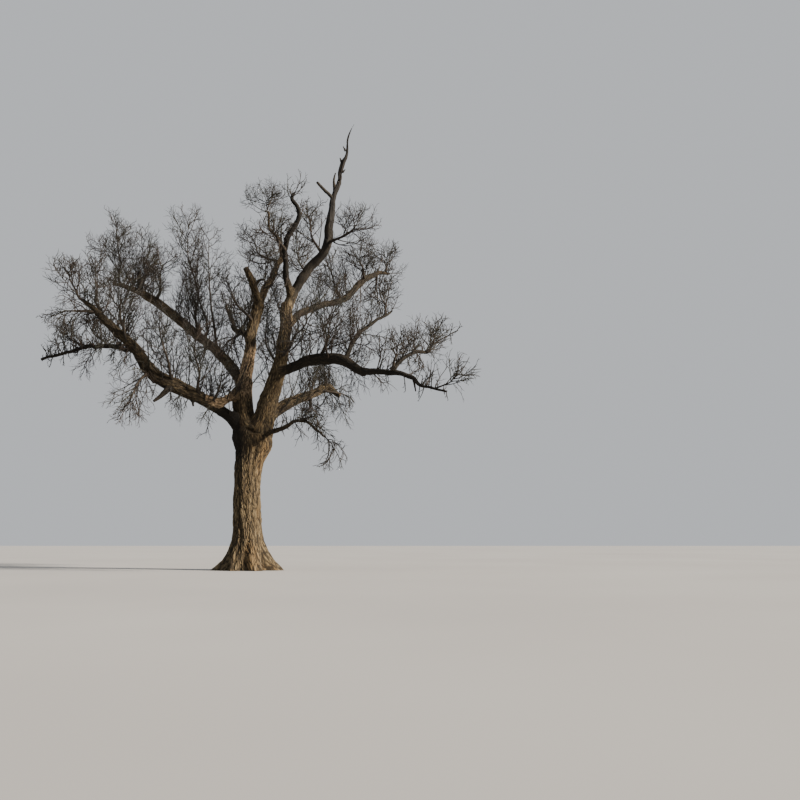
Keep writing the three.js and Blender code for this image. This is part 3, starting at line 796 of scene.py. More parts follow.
def rib_height(bearings, heights):
    """How far the main ribs of the bark stand out: height * (1 + uneven * sin(3 turn + ...)) * cos(count *
    turn), where turn leans round the trunk with the height and wavers. They fade below the fork."""
    waver = RIBS["waver"] * np.sin(2 * np.pi * heights / RIBS["pace"])
    turn = np.radians(bearings + RIBS["lean"] * heights + waver)
    share = 1 + RIBS["uneven"] * np.sin(3 * turn + heights / RIBS["pace"])
    fading = np.clip((FORK_LEVEL + RIBS["above_fork"] - heights) / RIBS["fade"], 0, 1)
    return RIBS["height"] * share * fading * np.cos(RIBS["count"] * turn)


def turn_from(bearings, bearing):
    """How far a bearing is turned from another one, at most 180 degrees, with its sign."""
    return (bearings - bearing + 180) % 360 - 180


def trunk_radius(stem, bearings, heights):
    """The stem's radius, with ridges and burrs added as bells round their bearing: reach times (1 - height /
    ridge height)^2 times exp(-turn^2) for a ridge, and swell times exp(-turn^2 - rise^2) for a burr."""
    radius = stem + 0 * bearings
    rise = np.clip(1 - heights / BUTTRESS_HEIGHT, 0, 1) ** 2
    for bearing, reach in BUTTRESSES:
        radius = radius + reach * rise * np.exp(-((turn_from(bearings, bearing) / BUTTRESS_WIDTH) ** 2))
    for bearing, height, swell, width, depth in BURRS:
        off = (turn_from(bearings, bearing) / width) ** 2 + ((heights - height) / depth) ** 2
        radius = radius + swell * np.exp(-off)
    return radius + rib_height(bearings, heights)


def toes(bearings, heights):
    """Lesser roots between the ridges: noise round the foot that fades with the height squared."""
    turn = np.radians(bearings)
    around = np.stack([
        TOES["count"] * np.cos(turn), TOES["count"] * np.sin(turn), TOES["rise"] * heights,
    ], axis=-1)
    fade = np.clip(1 - heights / TOES["height"], 0, 1) ** 2
    return TOES["reach"] * fade * layered_noise(around, TOES["salt"], 3)


def fold(bearings, heights):
    """The crease under the fork: exp(-(rise / thickness)^2 - (turn / width)^4), a groove that runs round the
    front. Its level tilts slightly and ripples."""
    turn = turn_from(bearings, FOLD["bearing"])
    ripple = FOLD["ripple"] * np.sin(np.radians(turn) * FOLD["ripples"])
    level = FOLD["height"] + FOLD["tilt"] * np.radians(turn) + ripple
    across = (heights - level) / FOLD["thickness"]
    return np.exp(-(across**2) - (turn / FOLD["width"]) ** 4)


def trunk_skin():
    """Level rings up to the fork, then rings whose radius is drawn in by sqrt(1 - rise^2), like half a
    ball. The bark, the lumps, the toes and the fold are added to the radius of each."""
    straight = np.linspace(0, FORK_LEVEL, round(FORK_LEVEL / TRUNK_ROW) + 1)
    dome = FORK_LEVEL + FORK_RISE * np.sin(np.linspace(0, DOME_TURN, DOME_ROWS)[1:])
    height = np.concatenate([straight, dome])
    line = on_course(LIMBS["trunk"], FINE_SHARES)
    centre = np.stack([np.interp(height, line[:, 2], line[:, axis]) for axis in (0, 1)], axis=-1)
    stem = np.interp(height, line[:, 2], line[:, 3])
    closing = np.sqrt(1 - np.clip((height - FORK_LEVEL) / FORK_RISE, 0, 1) ** 2)
    turn = np.linspace(0, 2 * np.pi, TRUNK_RING, endpoint=False)
    bearings, heights = np.meshgrid(np.degrees(turn), height)
    radius = trunk_radius(stem[:, None], bearings, heights) * closing[:, None]
    spoke = np.stack([np.cos(turn), np.sin(turn)], axis=-1)
    twisted = turn[None, :] + GRAIN_TWIST * height[:, None]
    round_grain = GRAIN_RADIUS * np.stack([np.cos(twisted), np.sin(twisted)], axis=-1)
    grain = np.concatenate([round_grain, heights[..., None]], axis=-1)
    relief, furrow = bark_relief(grain, OLD_RADIUS, TRUNK_SALT)
    crease = fold(bearings, heights)
    lumps = LUMPS["height"] * layered_noise(grain * LUMPS["pace"], LUMPS["salt"], 2)
    radius = radius + (relief + lumps) * closing[:, None] + toes(bearings, heights) - FOLD["depth"] * crease
    level = centre[:, None, :] + radius[..., None] * spoke
    places = np.concatenate([level, heights[..., None]], axis=-1)
    # The fold counts as furrow too, so the finish paints its crease near black: a painted shadow in the
    # crease
    return closed_skin(places, grain, np.maximum(furrow, crease), 0 * furrow)


trunk = trunk_skin()
print("trunk:", 2 * len(trunk.quads) + len(trunk.triangles), "triangles")
print("foot:", np.ptp(trunk.places[:TRUNK_RING, 0]).round(2), "m wide")

# %% [markdown]
# ## Limbs
#
# A limb is round only on paper. It swells at knots where it once carried branches, its section wanders, its
# grain turns slowly round it, and it ends in a break: splinters round a hollow. Each of these is a
# formula on the grid of rows and sides, added to the course's own radius before the bark goes on.

# %% Limb skins
LEAST_SIDES = 12
LIMB_TWIST = 0.05
KNOTS = {"spacing": 1.1, "stray": 0.4, "size": 0.45, "size_range": 0.2, "longer": 1.3, "swell": 0.16,
         "swell_range": 0.1, "dent": 1.1, "dent_sharpness": 5, "salt": 300}
WANDER = {"share": 0.1, "size": 1.6, "stretch": 1.7}
CROOK = {"reach": 0.07, "pace": 0.8, "least": 0.35, "thick": 0.3, "thin": 0.05, "begins": (0.1, 0.9),
         "ends": (-0.1, 0.6), "axis_shift": 31.7}
BREAK = {"length": 0.35, "splinter": 1.2, "least": -0.6, "pace": 2.2, "grain": 0.3, "salt": 90}

# The rows beyond an end: how far on each stands, and to what share of the radius it is drawn in
BREAK_ROWS = ((0.25, 0.99), (0.5, 0.95), (0.75, 0.86), (1.0, 0.72), (0.8, 0.5), (0.55, 0.25))
ROUND_ROWS = ((0.4, 0.96), (0.75, 0.8), (0.95, 0.5), (1.0, 0.2))

# How far the collar swells, as a share of the radius at the root, on a limb that carries on and on a snag
CARRIED_SWELL = 0.06
SNAG_SWELL = 0.6

# Where the seeds of the limbs start, how far they are apart, and how far a snag's is from its limb's
LIMB_SEED = 5000
SEED_STEP = 37
SNAG_SEED = 500

# A snag's grain is counted from further on than any limb is long, which tells the finish that it is a snag
LONGEST_LIMB = 19.0
SNAG_GRAIN_FROM = LONGEST_LIMB + 1

# How much of the trunk's course counts as the skin that the limbs leave
FORK_SHARE = 0.92

# Limbs whose end another limb carries on from, so that it is rounded over and not broken
CARRIED_ON = {"left_leader", "right_leader", "mid_right_bough", "grafted_arm", "left_leader_top"}

# Limbs that carry on from another one's end, with hardly a collar
CARRYING_ON = {"left_leader_top", "dead_spire", "low_left_bough_end", "mid_right_bough_end"}


def knots(lengths, turns, radius, seed):
    """Swellings over old branches, as a share of the radius: a bell at each knot's place on the skin, with
    a dent in the middle of every other one where the wood has not closed."""
    total = 0 * turns
    for number in range(int(lengths[-1] / KNOTS["spacing"])):
        one = scramble(seed, KNOTS["salt"] + number)
        length = (number + 0.5 + KNOTS["stray"] * leaning(one, 1)) * KNOTS["spacing"]
        size = KNOTS["size"] + KNOTS["size_range"] * leaning(one, 3)
        away = np.angle(np.exp(1j * (turns - np.pi * leaning(one, 2)))) / size
        ahead = (lengths - length) / (KNOTS["longer"] * size * radius)
        off = away**2 + ahead[:, None] ** 2
        swell = KNOTS["swell"] + KNOTS["swell_range"] * leaning(one, 4)
        dent = KNOTS["dent"] * (number % 2) * np.exp(-KNOTS["dent_sharpness"] * off)
        total = total + swell * (np.exp(-off) - dent)
    return total


def break_rows(last, along, spokes, radius, turns, rows, seed):
    """Rings beyond a limb's end. Each stands a share of the break's length further on and is drawn in to a
    share of the radius. A noise round the end lets splinters reach further, but not past a rounded end."""
    x, y = BREAK["pace"] * np.cos(turns), BREAK["pace"] * np.sin(turns)
    jag = layered_noise(np.stack([x, y, 0 * turns + seed], axis=-1), BREAK["salt"], 2)
    splinter = BREAK["splinter"] if rows is BREAK_ROWS else 0
    reach = BREAK["length"] * radius * (1 + splinter * np.maximum(jag, BREAK["least"]))
    steps, draws = np.array(rows).T[:, :, None, None]
    return last + along * (steps * reach[:, None]) + spokes * (draws * radius)


def crooked(line, lengths, seed):
    """Small crooks that a course's few bends leave out: noise along it, strongest on the thinner limbs."""
    path = np.stack([lengths / CROOK["pace"], 0 * lengths, 0 * lengths], axis=-1)
    moved = [path + CROOK["axis_shift"] * axis for axis in range(3)]
    shift = np.stack([layered_noise(places, seed % 83, 2) for places in moved], axis=-1)
    left = lengths[-1] - lengths
    fade = smooth_window(lengths, *CROOK["begins"]) * smooth_window(left, *CROOK["ends"])
    thinness = smooth_window(-line[:, 3], -CROOK["thick"], -CROOK["thin"])
    share = CROOK["least"] + (1 - CROOK["least"]) * thinness
    result = line.copy()
    result[:, :3] += shift * (CROOK["reach"] * fade * share)[:, None]
    return result


def limb_skin(bends, seed, older, swell, broken=True, surface=bark_relief):
    """A closed skin round a course, from inside the older limb to beyond its own broken end. A ring's points
    stand from the course by radius * (1 + wander + knots), then the collar and the relief are added. The
    seed's remainders by primes are the salts of its noises."""
    shares, lengths = even_shares(bends, ROW_SPACING)
    line = crooked(on_course(bends, shares), lengths, seed)
    radius = line[:, 3]
    along, across, over = frames_along(line[:, :3])
    sides = max(LEAST_SIDES, round(2 * np.pi * radius.max() / SIDE_SPACING))
    turns = np.linspace(0, 2 * np.pi, sides, endpoint=False) + np.zeros((len(radius), 1))
    spokes = across[:, None] * np.cos(turns)[..., None] + over[:, None] * np.sin(turns)[..., None]
    twisted = turns + LIMB_TWIST * lengths[:, None] / radius.mean()
    grain = np.concatenate([
        radius[:, None, None] * np.stack([np.cos(twisted), np.sin(twisted)], axis=-1),
        np.broadcast_to(lengths[:, None, None], (*turns.shape, 1)),
    ], axis=-1)
    wander_size = WANDER["size"] * radius.mean() * np.array([1, 1, WANDER["stretch"]])
    wander = WANDER["share"] * layered_noise(grain / wander_size, seed % 997, 2)
    girth = radius[:, None] * (1 + wander + knots(lengths, turns, radius, seed))
    smooth = with_collar(line[:, None, :3] + spokes * girth[..., None], spokes, older, swell)
    relief, furrow = surface(grain, radius.mean(), seed % 991)
    places = smooth + spokes * relief[..., None]
    rows = BREAK_ROWS if broken else ROUND_ROWS
    beyond = break_rows(line[-1, :3], along[-1], spokes[-1], radius[-1], turns[-1], rows, seed % 89)
    rough = places[-1] - line[-1, :3] - spokes[-1] * radius[-1]
    beyond = beyond + rough * np.array([draw for _, draw in rows])[:, None, None]
    count = len(rows)
    grain_step = np.array([0, 0, BREAK["grain"] * radius[-1] / count])
    end_grain = grain[-1] + np.arange(1, count + 1)[:, None, None] * grain_step
    bare = np.zeros((len(radius) + count, sides))
    if surface is dying_relief:
        bare[:len(radius)] = bare_share(grain)
    bare[len(radius) + 1:] = 1.0 if broken else 0.0
    return closed_skin(
        np.concatenate([places, beyond]),
        np.concatenate([grain, end_grain]),
        np.concatenate([furrow, np.repeat(furrow[-1:], count, axis=0)]),
        bare,
    )


def limb_and_snags(name, bends, seed, older, own):
    """A limb's own skin and those of the snags that stand on it, as one."""
    surface = dying_relief if name == "dead_spire" else bark_relief
    swell = bends[0][3] * (CARRIED_SWELL if name in CARRYING_ON else COLLAR_SWELL)
    parts = [limb_skin(bends, seed, older, swell, name not in CARRIED_ON, surface)]
    for number, snag in enumerate(SNAGS.get(name, [])):
        broken = limb_skin(snag, seed + SNAG_SEED + number, own, SNAG_SWELL * snag[0][3], surface=surface)
        parts.append(broken._replace(grain=broken.grain + np.array([0, 0, SNAG_GRAIN_FROM])))
    return joined(parts)


skins = {"trunk": trunk}
limb_lines = {"trunk": stretches(LIMBS["trunk"], FORK_SHARE)}
for number, (name, bends) in enumerate(list(LIMBS.items())[1:]):
    older = np.concatenate(list(limb_lines.values()), axis=1)
    limb_lines[name] = stretches(bends)
    skins[name] = limb_and_snags(name, bends, LIMB_SEED + SEED_STEP * number, older, limb_lines[name])
print("framework:", sum(2 * len(skin.quads) + len(skin.triangles) for skin in skins.values()), "triangles")

# %% [markdown]
# ## Forty masses of twigs
#
# The crown is forty masses, each grown from one stem that leaves its limb sideways and climbs, or droops, to
# its tip. The rule is the one that made the solids, so that the fine twigs lie where the solids are: a stem
# carries side shoots in a spiral that turns by the golden angle, and these carry twigs. A shoot that would
# leave its mass's own space or touch a limb is left out, and this keeps the gaps between the masses
# open. Full is 1 where the photo's spray is densest, and each metre of wood then carries the most twigs.

# %% Masses: how far along its limb each stem stands, its tip, how wide its space is and how full
MASSES = {
    "upper_left_bough": [
        (0.93, (-8.9, 5, 18.9), 1.7, 0.85),
        (0.76, (-8, 6.2, 18.7), 1.6, 0.75),
        (0.4, (-4.4, 3, 18.6), 1.8, 0.7),
        (0.64, (-5, 1.2, 15.6), 1.4, 0.6),
        (0.27, (-3.6, 4.4, 18.2), 1.7, 0.6),
    ],
    "low_left_bough_end": [
        (0.97, (-7.5, -4.6, 13.1), 1.2, 0.8),
        (0.78, (-7.2, -2.4, 14.1), 1.5, 0.62),
        (0.86, (-7.5, -4.8, 11.2), 1.2, 0.85),
        (0.5, (-4.9, -5, 12.3), 1.4, 0.7),
        (0.12, (-4.8, -3.8, 7.1), 1.3, 0.55),
    ],
    "far_left_arm": [
        (0.5, (-9.5, 0.4, 11.5), 1.25, 0.75),
        (0.3, (-8, -0.4, 11.6), 1.4, 0.7),
    ],
    "low_left_bough": [
        (0.85, (-3.5, -4.2, 10.9), 1.5, 0.75),
        (0.6, (-2.1, -3.2, 10.5), 1.5, 0.7),
        (0.45, (-1, -2.4, 9.1), 1, 0.45),
    ],
    "left_leader_top": [
        (0.97, (-0.4, 4.4, 20.5), 1.5, 0.8),
        (0.45, (-1.4, 5.2, 18.7), 1.5, 0.7),
    ],
    "left_leader": [
        (0.88, (-1.4, -0.8, 14.1), 1.1, 0.7),
    ],
    "hooked_leader": [
        (0.4, (1.4, -4, 15.2), 1.2, 0.65),
    ],
    "dead_spire": [
        (0.28, (2.7, -1.5, 17.1), 1.2, 0.7),
        (0.35, (5.2, -2.2, 16.1), 1.5, 0.65),
        (0.16, (1.8, 2.6, 17.2), 1.4, 0.7),
    ],
    "upper_right_bough": [
        (0.95, (6.5, 4.6, 17.4), 1.1, 0.85),
        (0.45, (3.4, 3, 16.3), 1.4, 0.7),
        (0.72, (5.1, 1.2, 16), 1.25, 0.8),
        (0.85, (5.9, 4.4, 14.2), 1.2, 0.5),
    ],
    "inner_right_arm": [
        (0.92, (6.5, -2.4, 12.9), 1.3, 0.6),
    ],
    "mid_right_bough": [
        (0.55, (4, -3.6, 11.2), 1.5, 0.7),
    ],
    "right_fork_arm": [
        (0.55, (8.9, -1.8, 11.2), 1.1, 0.6),
    ],
    "mid_right_bough_end": [
        (0.85, (9.6, -5.9, 8.2), 1.1, 0.4),
        (0.3, (7.1, -5.6, 9.5), 1.2, 0.55),
    ],
    "short_right_bough": [
        (0.6, (2.7, 3.4, 10.3), 1.1, 1),
        (0.7, (4.5, 2.6, 8.8), 1, 0.7),
    ],
    "drooping_bough": [
        (0.96, (4.3, -3.7, 5.3), 1.2, 0.4),
        (0.5, (3.6, -3.8, 6.8), 1.2, 0.55),
    ],
    "right_leader": [
        (0.55, (0.1, 3.2, 14.4), 1.4, 0.45),
        (0.7, (3.3, -5.4, 10.8), 1.5, 0.45),
    ],
    "back_bough": [
        (0.96, (-2.7, 7.4, 14.7), 1.4, 0.6),
        (0.6, (-1.1, 6.2, 16), 1.5, 0.7),
        (0.4, (-2.8, 5.4, 11.8), 1.4, 0.4),
    ],
}
print(sum(len(masses) for masses in MASSES.values()), "masses on", len(MASSES), "limbs")

# %% [markdown]
# ## How a mass branches
#
# Stems, side shoots and the first twigs are those of the solids. What the solids leave out goes on by the
# same rule: later shoots between the side shoots, and then twigs, sprigs and twiglets. They are counted by
# the metre of the wood that carries them, so that long shoots carry many and short ones few. A shoot's
# length is a share of its mass's width, or of the shoot that it stands on, and that share falls towards
# the tip. It leaves its parent at an angle in degrees, wanders at each bend, and is lifted. Where it
# crowds, by a number over 1, the shoots stand closer together near the root.

# %% Forms of shoots
GOLDEN_ANGLE = np.radians(137.5)
FIRST_SEED = 1000
STEM = {"bends": 4, "girth": 0.085, "flow": 0.7, "wobble": 0.05, "most_of_limb": 0.8}
CHANCE_OF = {"place": 0.3, "turn": 0.8, "leave": 0.25, "length": 0.15}
SALT = {"place": 1, "turn": 2, "leave": 3, "length": 4, "stray": 11, "sway": 31, "child": 101}
SIDE_SHOOTS = {"count": 9, "each_metre": 0, "crowd": 1.0, "first": 0.24, "bends": 4, "long": 1.5,
               "fall": 0.75, "leave": 50, "lift": 0.14, "wander": 0.34}
TWIGS = {"count": 6, "each_metre": 0, "crowd": 1.0, "first": 0.3, "bends": 3, "long": 0.5, "fall": 0.2,
         "leave": 45, "lift": 0.1, "wander": 0.3}
LATER_SHOOTS = {"count": 0, "each_metre": 3.6, "crowd": 1.15, "first": 0.08, "bends": 4, "long": 1.3,
                "fall": 0.6, "leave": 42, "lift": 0.2, "wander": 0.2}
LATER_TWIGS = {"count": 1, "each_metre": 3.6, "crowd": 1.1, "first": 0.1, "bends": 3, "long": 0.52,
               "fall": 0.2, "leave": 44, "lift": 0.16, "wander": 0.26}
SPRIGS = {"count": 0, "each_metre": 7.2, "crowd": 1.0, "first": 0.12, "bends": 3, "long": 0.75, "fall": 0.25,
          "leave": 40, "lift": 0.12, "wander": 0.24}
TWIGLETS = {"count": 0, "each_metre": 8.2, "crowd": 1.0, "first": 0.1, "bends": 1, "long": 0.8, "fall": 0.2,
            "leave": 34, "lift": 0.12, "wander": 0.2}

# Each kind is thinner than its parent by a ratio. A shoot keeps nearer to its own stem than to any other,
# by a margin in widths of the masses; where that is below 0, neighbouring sprays mingle. A shoot also
# stays in a box round the crown, and a little away from the limbs, in metres.
GIRTH_RATIO = 0.48
SPACE_MARGIN = 0.06
NO_MARGIN = 0.0
FINE_OVERLAP = -0.25
CROWN_MIDDLE = np.array([-0.05, 0.78, 12.0])
CROWN_HALF = np.array([10.75, 7.8, 10.0])
LIMB_MARGIN = 0.06

# How much further than the solids' shoots the later ones, and all twigs, may be from the stem
LATER_ROOM = 0.35
TWIG_ROOM = 0.1

# A wide mass has more later shoots: its width, as a share of the mean one, to this power
WIDE_POWER = 1.2
print("a stem carries", SIDE_SHOOTS["count"], "side shoots, and each of these", TWIGS["count"], "twigs")

# %% [markdown]
# ## Water shoots and long shoots
#
# Water shoots stand on the limbs themselves. On a real oak they break from sleeping buds in the bark where
# light falls in, most of them upwards from the upper side; those on the underside hang, and are shorter.
# They are dealt out along each limb by its own spacing, 50 mm where none is given. The long shoots are the
# thin sprays that cross the gaps between the masses, and each of these is listed one by one.

# %% Water shoots, and long shoots: how far along its limb each stands, and its tip
SPROUT_SPACING = {"low_left_bough_end": 0.035, "upper_left_bough": 0.04, "far_left_arm": 0.035,
                  "inner_right_arm": 0.025, "mid_right_bough_end": 0.03, "left_leader": 0.07,
                  "right_leader": 0.07}
SPROUTS = {"spacing": 0.05, "stray": 0.4, "short": 0.5, "long": 2.8, "curve": 2.2, "rise": 1.0, "ahead": 0.3,
           "hang": 0.5, "hangs_below": -0.4, "hanging_share": 0.5, "full_on": 0.2, "least": 0.6,
           "fewer_on_steep": 0.6, "at_root": 0.95, "fall": 0.35, "sunk": 0.8, "root": 0.008, "girth": 0.011,
           "lift": 0.24, "wander": 0.24, "bends": 4, "first": 0.12, "room": 2.4, "step": 0.01,
           "first_seed": 7000}
BARE_LIMBS = ("trunk", "dead_spire")
WISPS = {
    "hooked_leader": [
        (0.1, (1.2, -1.1, 13)), (0.12, (1.1, -0.6, 14.6)),
    ],
    "left_leader_top": [
        (0.2, (-0.5, 2.6, 15.1)), (0.2, (1.1, 1, 13.9)), (0.3, (1.1, 2.6, 15.8)),
        (0.12, (0.5, 0.4, 15.3)),
    ],
    "upper_right_bough": [
        (0.6, (4.7, 2.6, 13)), (0.66, (4.6, 2, 15.9)), (0.7, (5.1, 2.2, 12.9)), (0.5, (4, 1.4, 12.5)),
        (0.3, (3.2, 0.2, 14.9)), (0.82, (5.7, 3.2, 16.9)),
    ],
    "inner_right_arm": [
        (0.5, (5.6, -2.2, 11.7)), (0.35, (6.1, -3.2, 9.8)), (0.3, (4.9, -2.8, 11.8)),
        (0.6, (6.8, -2, 10.7)),
    ],
    "right_fork_arm": [
        (0.35, (7.9, -3.4, 9.3)), (0.3, (7.6, -3.9, 8.8)), (0.5, (8, -3.6, 8.7)), (0.45, (8.3, -3.2, 9)),
    ],
    "mid_right_bough_end": [
        (0.6, (8.6, -5, 8.5)), (0.45, (8.2, -4.6, 8.9)), (0.25, (7.4, -4.6, 9.8)),
    ],
    "low_left_bough_end": [
        (0.1, (-5, -2.4, 8.1)), (0.38, (-5.5, -3.4, 8.7)), (0.25, (-4.2, -3.2, 7.7)),
        (0.55, (-6.2, -3.9, 9.6)), (0.8, (-7.1, -4.2, 10.5)), (0.62, (-6.9, -3.2, 12.8)),
        (0.45, (-5.1, -3.6, 9)), (0.3, (-4.8, -3.4, 8.5)), (0.5, (-5.9, -3.2, 9.4)),
        (0.2, (-4.6, -2.8, 8.3)), (0.75, (-6.8, -4.4, 10.9)), (0.85, (-7.3, -3.6, 11.3)),
    ],
    "upper_left_bough": [
        (0.34, (-3.4, 2, 11.1)), (0.46, (-4.8, 2.8, 12.3)), (0.58, (-6.2, 3.4, 13.2)),
        (0.38, (-3.7, 2.8, 17.9)), (0.8, (-7.8, 4.2, 17.6)),
    ],
    "left_stub": [
        (0.5, (-1.1, 0.2, 14.9)),
    ],
    "left_leader": [
        (0.7, (-1.5, 1.8, 13.8)), (0.62, (0.5, 1.6, 12.5)), (0.85, (-0.1, 2, 13.8)),
        (0.9, (0.5, 1.6, 13.4)), (0.66, (-0.9, 0.4, 11.6)), (0.75, (-0.9, 0.9, 12.5)),
    ],
    "right_leader": [
        (0.95, (0.9, -0.2, 13.9)), (0.62, (0.6, 0, 13)), (0.7, (3.3, -1.4, 12.8)),
        (0.85, (0.8, -0.4, 12.2)),
    ],
    "low_left_bough": [
        (0.75, (-3, -2.6, 7.1)), (0.45, (-1.9, -1.8, 6.9)),
    ],
    "far_left_arm": [
        (0.45, (-7.7, -1.6, 9.2)),
    ],
    "short_right_bough": [
        (0.75, (4.4, 3, 7.6)), (0.5, (3, 2.4, 7.1)),
    ],
    "drooping_bough": [
        (0.45, (2.7, -2.6, 6)), (0.7, (4.1, -3.4, 5.9)), (0.85, (3.6, -3.2, 5.4)), (0.3, (2, -1.4, 6.5)),
    ],
    "mid_right_bough": [
        (0.5, (4.1, -2.6, 8.5)), (0.72, (5.4, -3, 8.3)), (0.88, (6.6, -3.8, 8.1)),
    ],
}
WISP = {"root": 0.01, "girth": 0.009, "room": 3.0, "overlap": -0.8, "share": 1.8, "longest": 1.7,
        "first_seed": 9000}
print(sum(len(wisps) for wisps in WISPS.values()), "long shoots")

# %% [markdown]
# ## Stems
#
# All shoots of a kind are kept together as arrays, so that one line of numpy bends or thins thousands of
# them. The first are the stems. A branch that reaches for light grows out before it grows up, so a stem is
# a curve with one control point that lies most of the way out but little of the way up.

# %% Stems


class Shoots(NamedTuple):
    """Many shoots of one kind: the bends of each, its seed, its length or its mass's width, its girth,
    which way it turns as it grows, its mass, the spray that it belongs to, and how far it may be from its
    mass's stem."""

    path: np.ndarray
    seed: np.ndarray
    scale: np.ndarray
    girth: np.ndarray
    lift: np.ndarray
    mass: np.ndarray
    spray: np.ndarray
    room: np.ndarray


def picked(shoots, kept):
    """The shoots that are kept."""
    return Shoots(*(field[kept] for field in shoots))


def stem_path(limb, at, tip, seed):
    """A curve of three points: the root on the limb, a point most of the way out but little of the way up,
    and the tip. Its bends are shifted sideways by chance, most in the middle."""
    root = on_course(LIMBS[limb], np.array([at]))[0, :3]
    chord = np.array(tip) - root
    control = root + chord * np.array([STEM["flow"], STEM["flow"], 1 - STEM["flow"]])
    t = np.linspace(0, 1, STEM["bends"] + 1)[:, None]
    path = (1 - t) ** 2 * root + 2 * t * (1 - t) * control + t * t * np.array(tip)
    number = np.arange(STEM["bends"] + 1)
    sway = STEM["wobble"] * np.linalg.norm(chord) * np.sin(np.pi * t[:, 0])
    for axis in (0, 1):
        path[:, axis] += sway * leaning(seed, SALT["sway"] + 2 * number + axis)
    return path


def grown_stems():
    """One stem for each mass, in the order of the limbs."""
    rows = [(limb, *mass) for limb in LIMBS for mass in MASSES.get(limb, [])]
    names = [f"{limb}_twigs_{number + 1}" for limb in LIMBS for number in range(len(MASSES.get(limb, [])))]
    seeds = FIRST_SEED + np.arange(len(rows))
    paths = np.stack([stem_path(limb, at, tip, seed) for (limb, at, tip, *_), seed in zip(rows, seeds)])
    spread = np.array([row[3] for row in rows])
    carrier = np.array([on_course(LIMBS[limb], np.array([at]))[0, 3] for limb, at, *_ in rows])
    girth = np.minimum(STEM["girth"], STEM["most_of_limb"] * carrier)
    lift = np.sign(paths[:, -1, 2] - paths[:, 0, 2])
    order = np.arange(len(rows))
    room = np.ones(len(rows))
    return names, Shoots(paths, seeds.astype(np.uint64), spread, girth, lift, order, order, room)


mass_names, stems = grown_stems()
fullness = np.array([mass[3] for limb in LIMBS for mass in MASSES.get(limb, [])])
print(len(mass_names), "stems, the highest tip at", stems.path[:, -1, 2].max(), "m")

# %% [markdown]
# ## The rule that grows shoots
#
# One function grows every kind of shoot, on thousands of parents at once. A shoot's seed comes from its
# parent's seed and its own number, so each shoot is the same at every run however many others there are.

# %% Growing shoots


def bend_on(start, heading, length, lift, seed, form):
    """The bends of shoots from their start: at each, the heading takes a random stray and the lift."""
    places = [start]
    for bend in range(form["bends"]):
        stray = np.stack([leaning(seed, SALT["stray"] + 3 * bend + axis) for axis in range(3)], axis=-1)
        rising = np.stack([0 * lift, 0 * lift, lift * form["lift"]], axis=-1)
        heading = unit(heading + form["wander"] * stray + rising)
        places.append(places[-1] + heading * (length / form["bends"])[:, None])
    return np.stack(places, axis=1)


def grow(parents, form, first_number=0, share=1.0):
    """Each parent carries the form's count of shoots, and so many for each metre of its own, times a share
    and how full its mass is. Number n of them stands at first + (1 - first) * (n + 0.5 + chance) / count
    of the way, to the power of crowd, turned by n golden angles, and leans out by the form's angle. Its
    length is the parent's scale * (long - fall * way)."""
    metres = np.linalg.norm(np.diff(parents.path, axis=1), axis=2).sum(axis=1)
    count = np.rint(form["count"] + form["each_metre"] * metres * share * fullness[parents.mass]).astype(int)
    own = np.repeat(np.arange(len(parents.seed)), count)
    number = np.arange(len(own)) - np.repeat(np.cumsum(count) - count, count)
    seed = scramble(parents.seed[own], SALT["child"] + number + first_number)
    stage = (number + 0.5 + CHANCE_OF["place"] * leaning(seed, SALT["place"])) / count[own]
    way = (form["first"] + (1 - form["first"]) * stage) ** form["crowd"]
    path = parents.path[own]
    bends = path.shape[1] - 1
    step = np.minimum((way * bends).astype(int), bends - 1)
    item = np.arange(len(own))
    forward = unit(path[item, step + 1] - path[item, step])
    start = on_course(path, way[:, None])[:, 0]
    side = unit(np.cross(forward, SIDEWAYS))
    other = np.cross(forward, side)
    turn = (GOLDEN_ANGLE * number + CHANCE_OF["turn"] * leaning(seed, SALT["turn"]))[:, None]
    leave = np.radians(form["leave"] * (1 + CHANCE_OF["leave"] * leaning(seed, SALT["leave"])))[:, None]
    heading = forward * np.cos(leave) + (side * np.cos(turn) + other * np.sin(turn)) * np.sin(leave)
    length = parents.scale[own] * (form["long"] - form["fall"] * way)
    length = length * (1 + CHANCE_OF["length"] * leaning(seed, SALT["length"]))
    lift = parents.lift[own]
    girth = GIRTH_RATIO * parents.girth[own] * (1 - way)
    path = bend_on(start, heading, length, lift, seed, form)
    return Shoots(path, seed, length, girth, lift, parents.mass[own], parents.spray[own], parents.room[own])


side_shoots = grow(stems, SIDE_SHOOTS)
print("side shoots:", len(side_shoots.seed))

# %% [markdown]
# ## Space for each mass
#
# Real sprays keep out of each other's shade, and so there is room between them. Here every bend of a shoot
# has to be nearer to its own stem than to the other masses' stems, each distance counted in widths of that
# mass. A shoot with a bend outside is left out as a whole, as if it had died back.

# %% Keeping shoots to their space


def distance_to_stretch(places, start, end):
    """How far each place is from a straight stretch between two points."""
    way = end - start
    share = np.clip((places - start) @ way / (way @ way), 0, 1)
    return np.linalg.norm(places - start - share[:, None] * way, axis=1)


def reach_to_stems(places):
    """For each place, its distance from every stem, counted in widths of that stem's mass."""
    reach = np.empty((len(stems.seed), len(places)))
    for number, (line, spread) in enumerate(zip(stems.path, stems.scale)):
        distances = [distance_to_stretch(places, start, end) for start, end in zip(line, line[1:])]
        reach[number] = np.min(distances, axis=0) / spread
    return reach


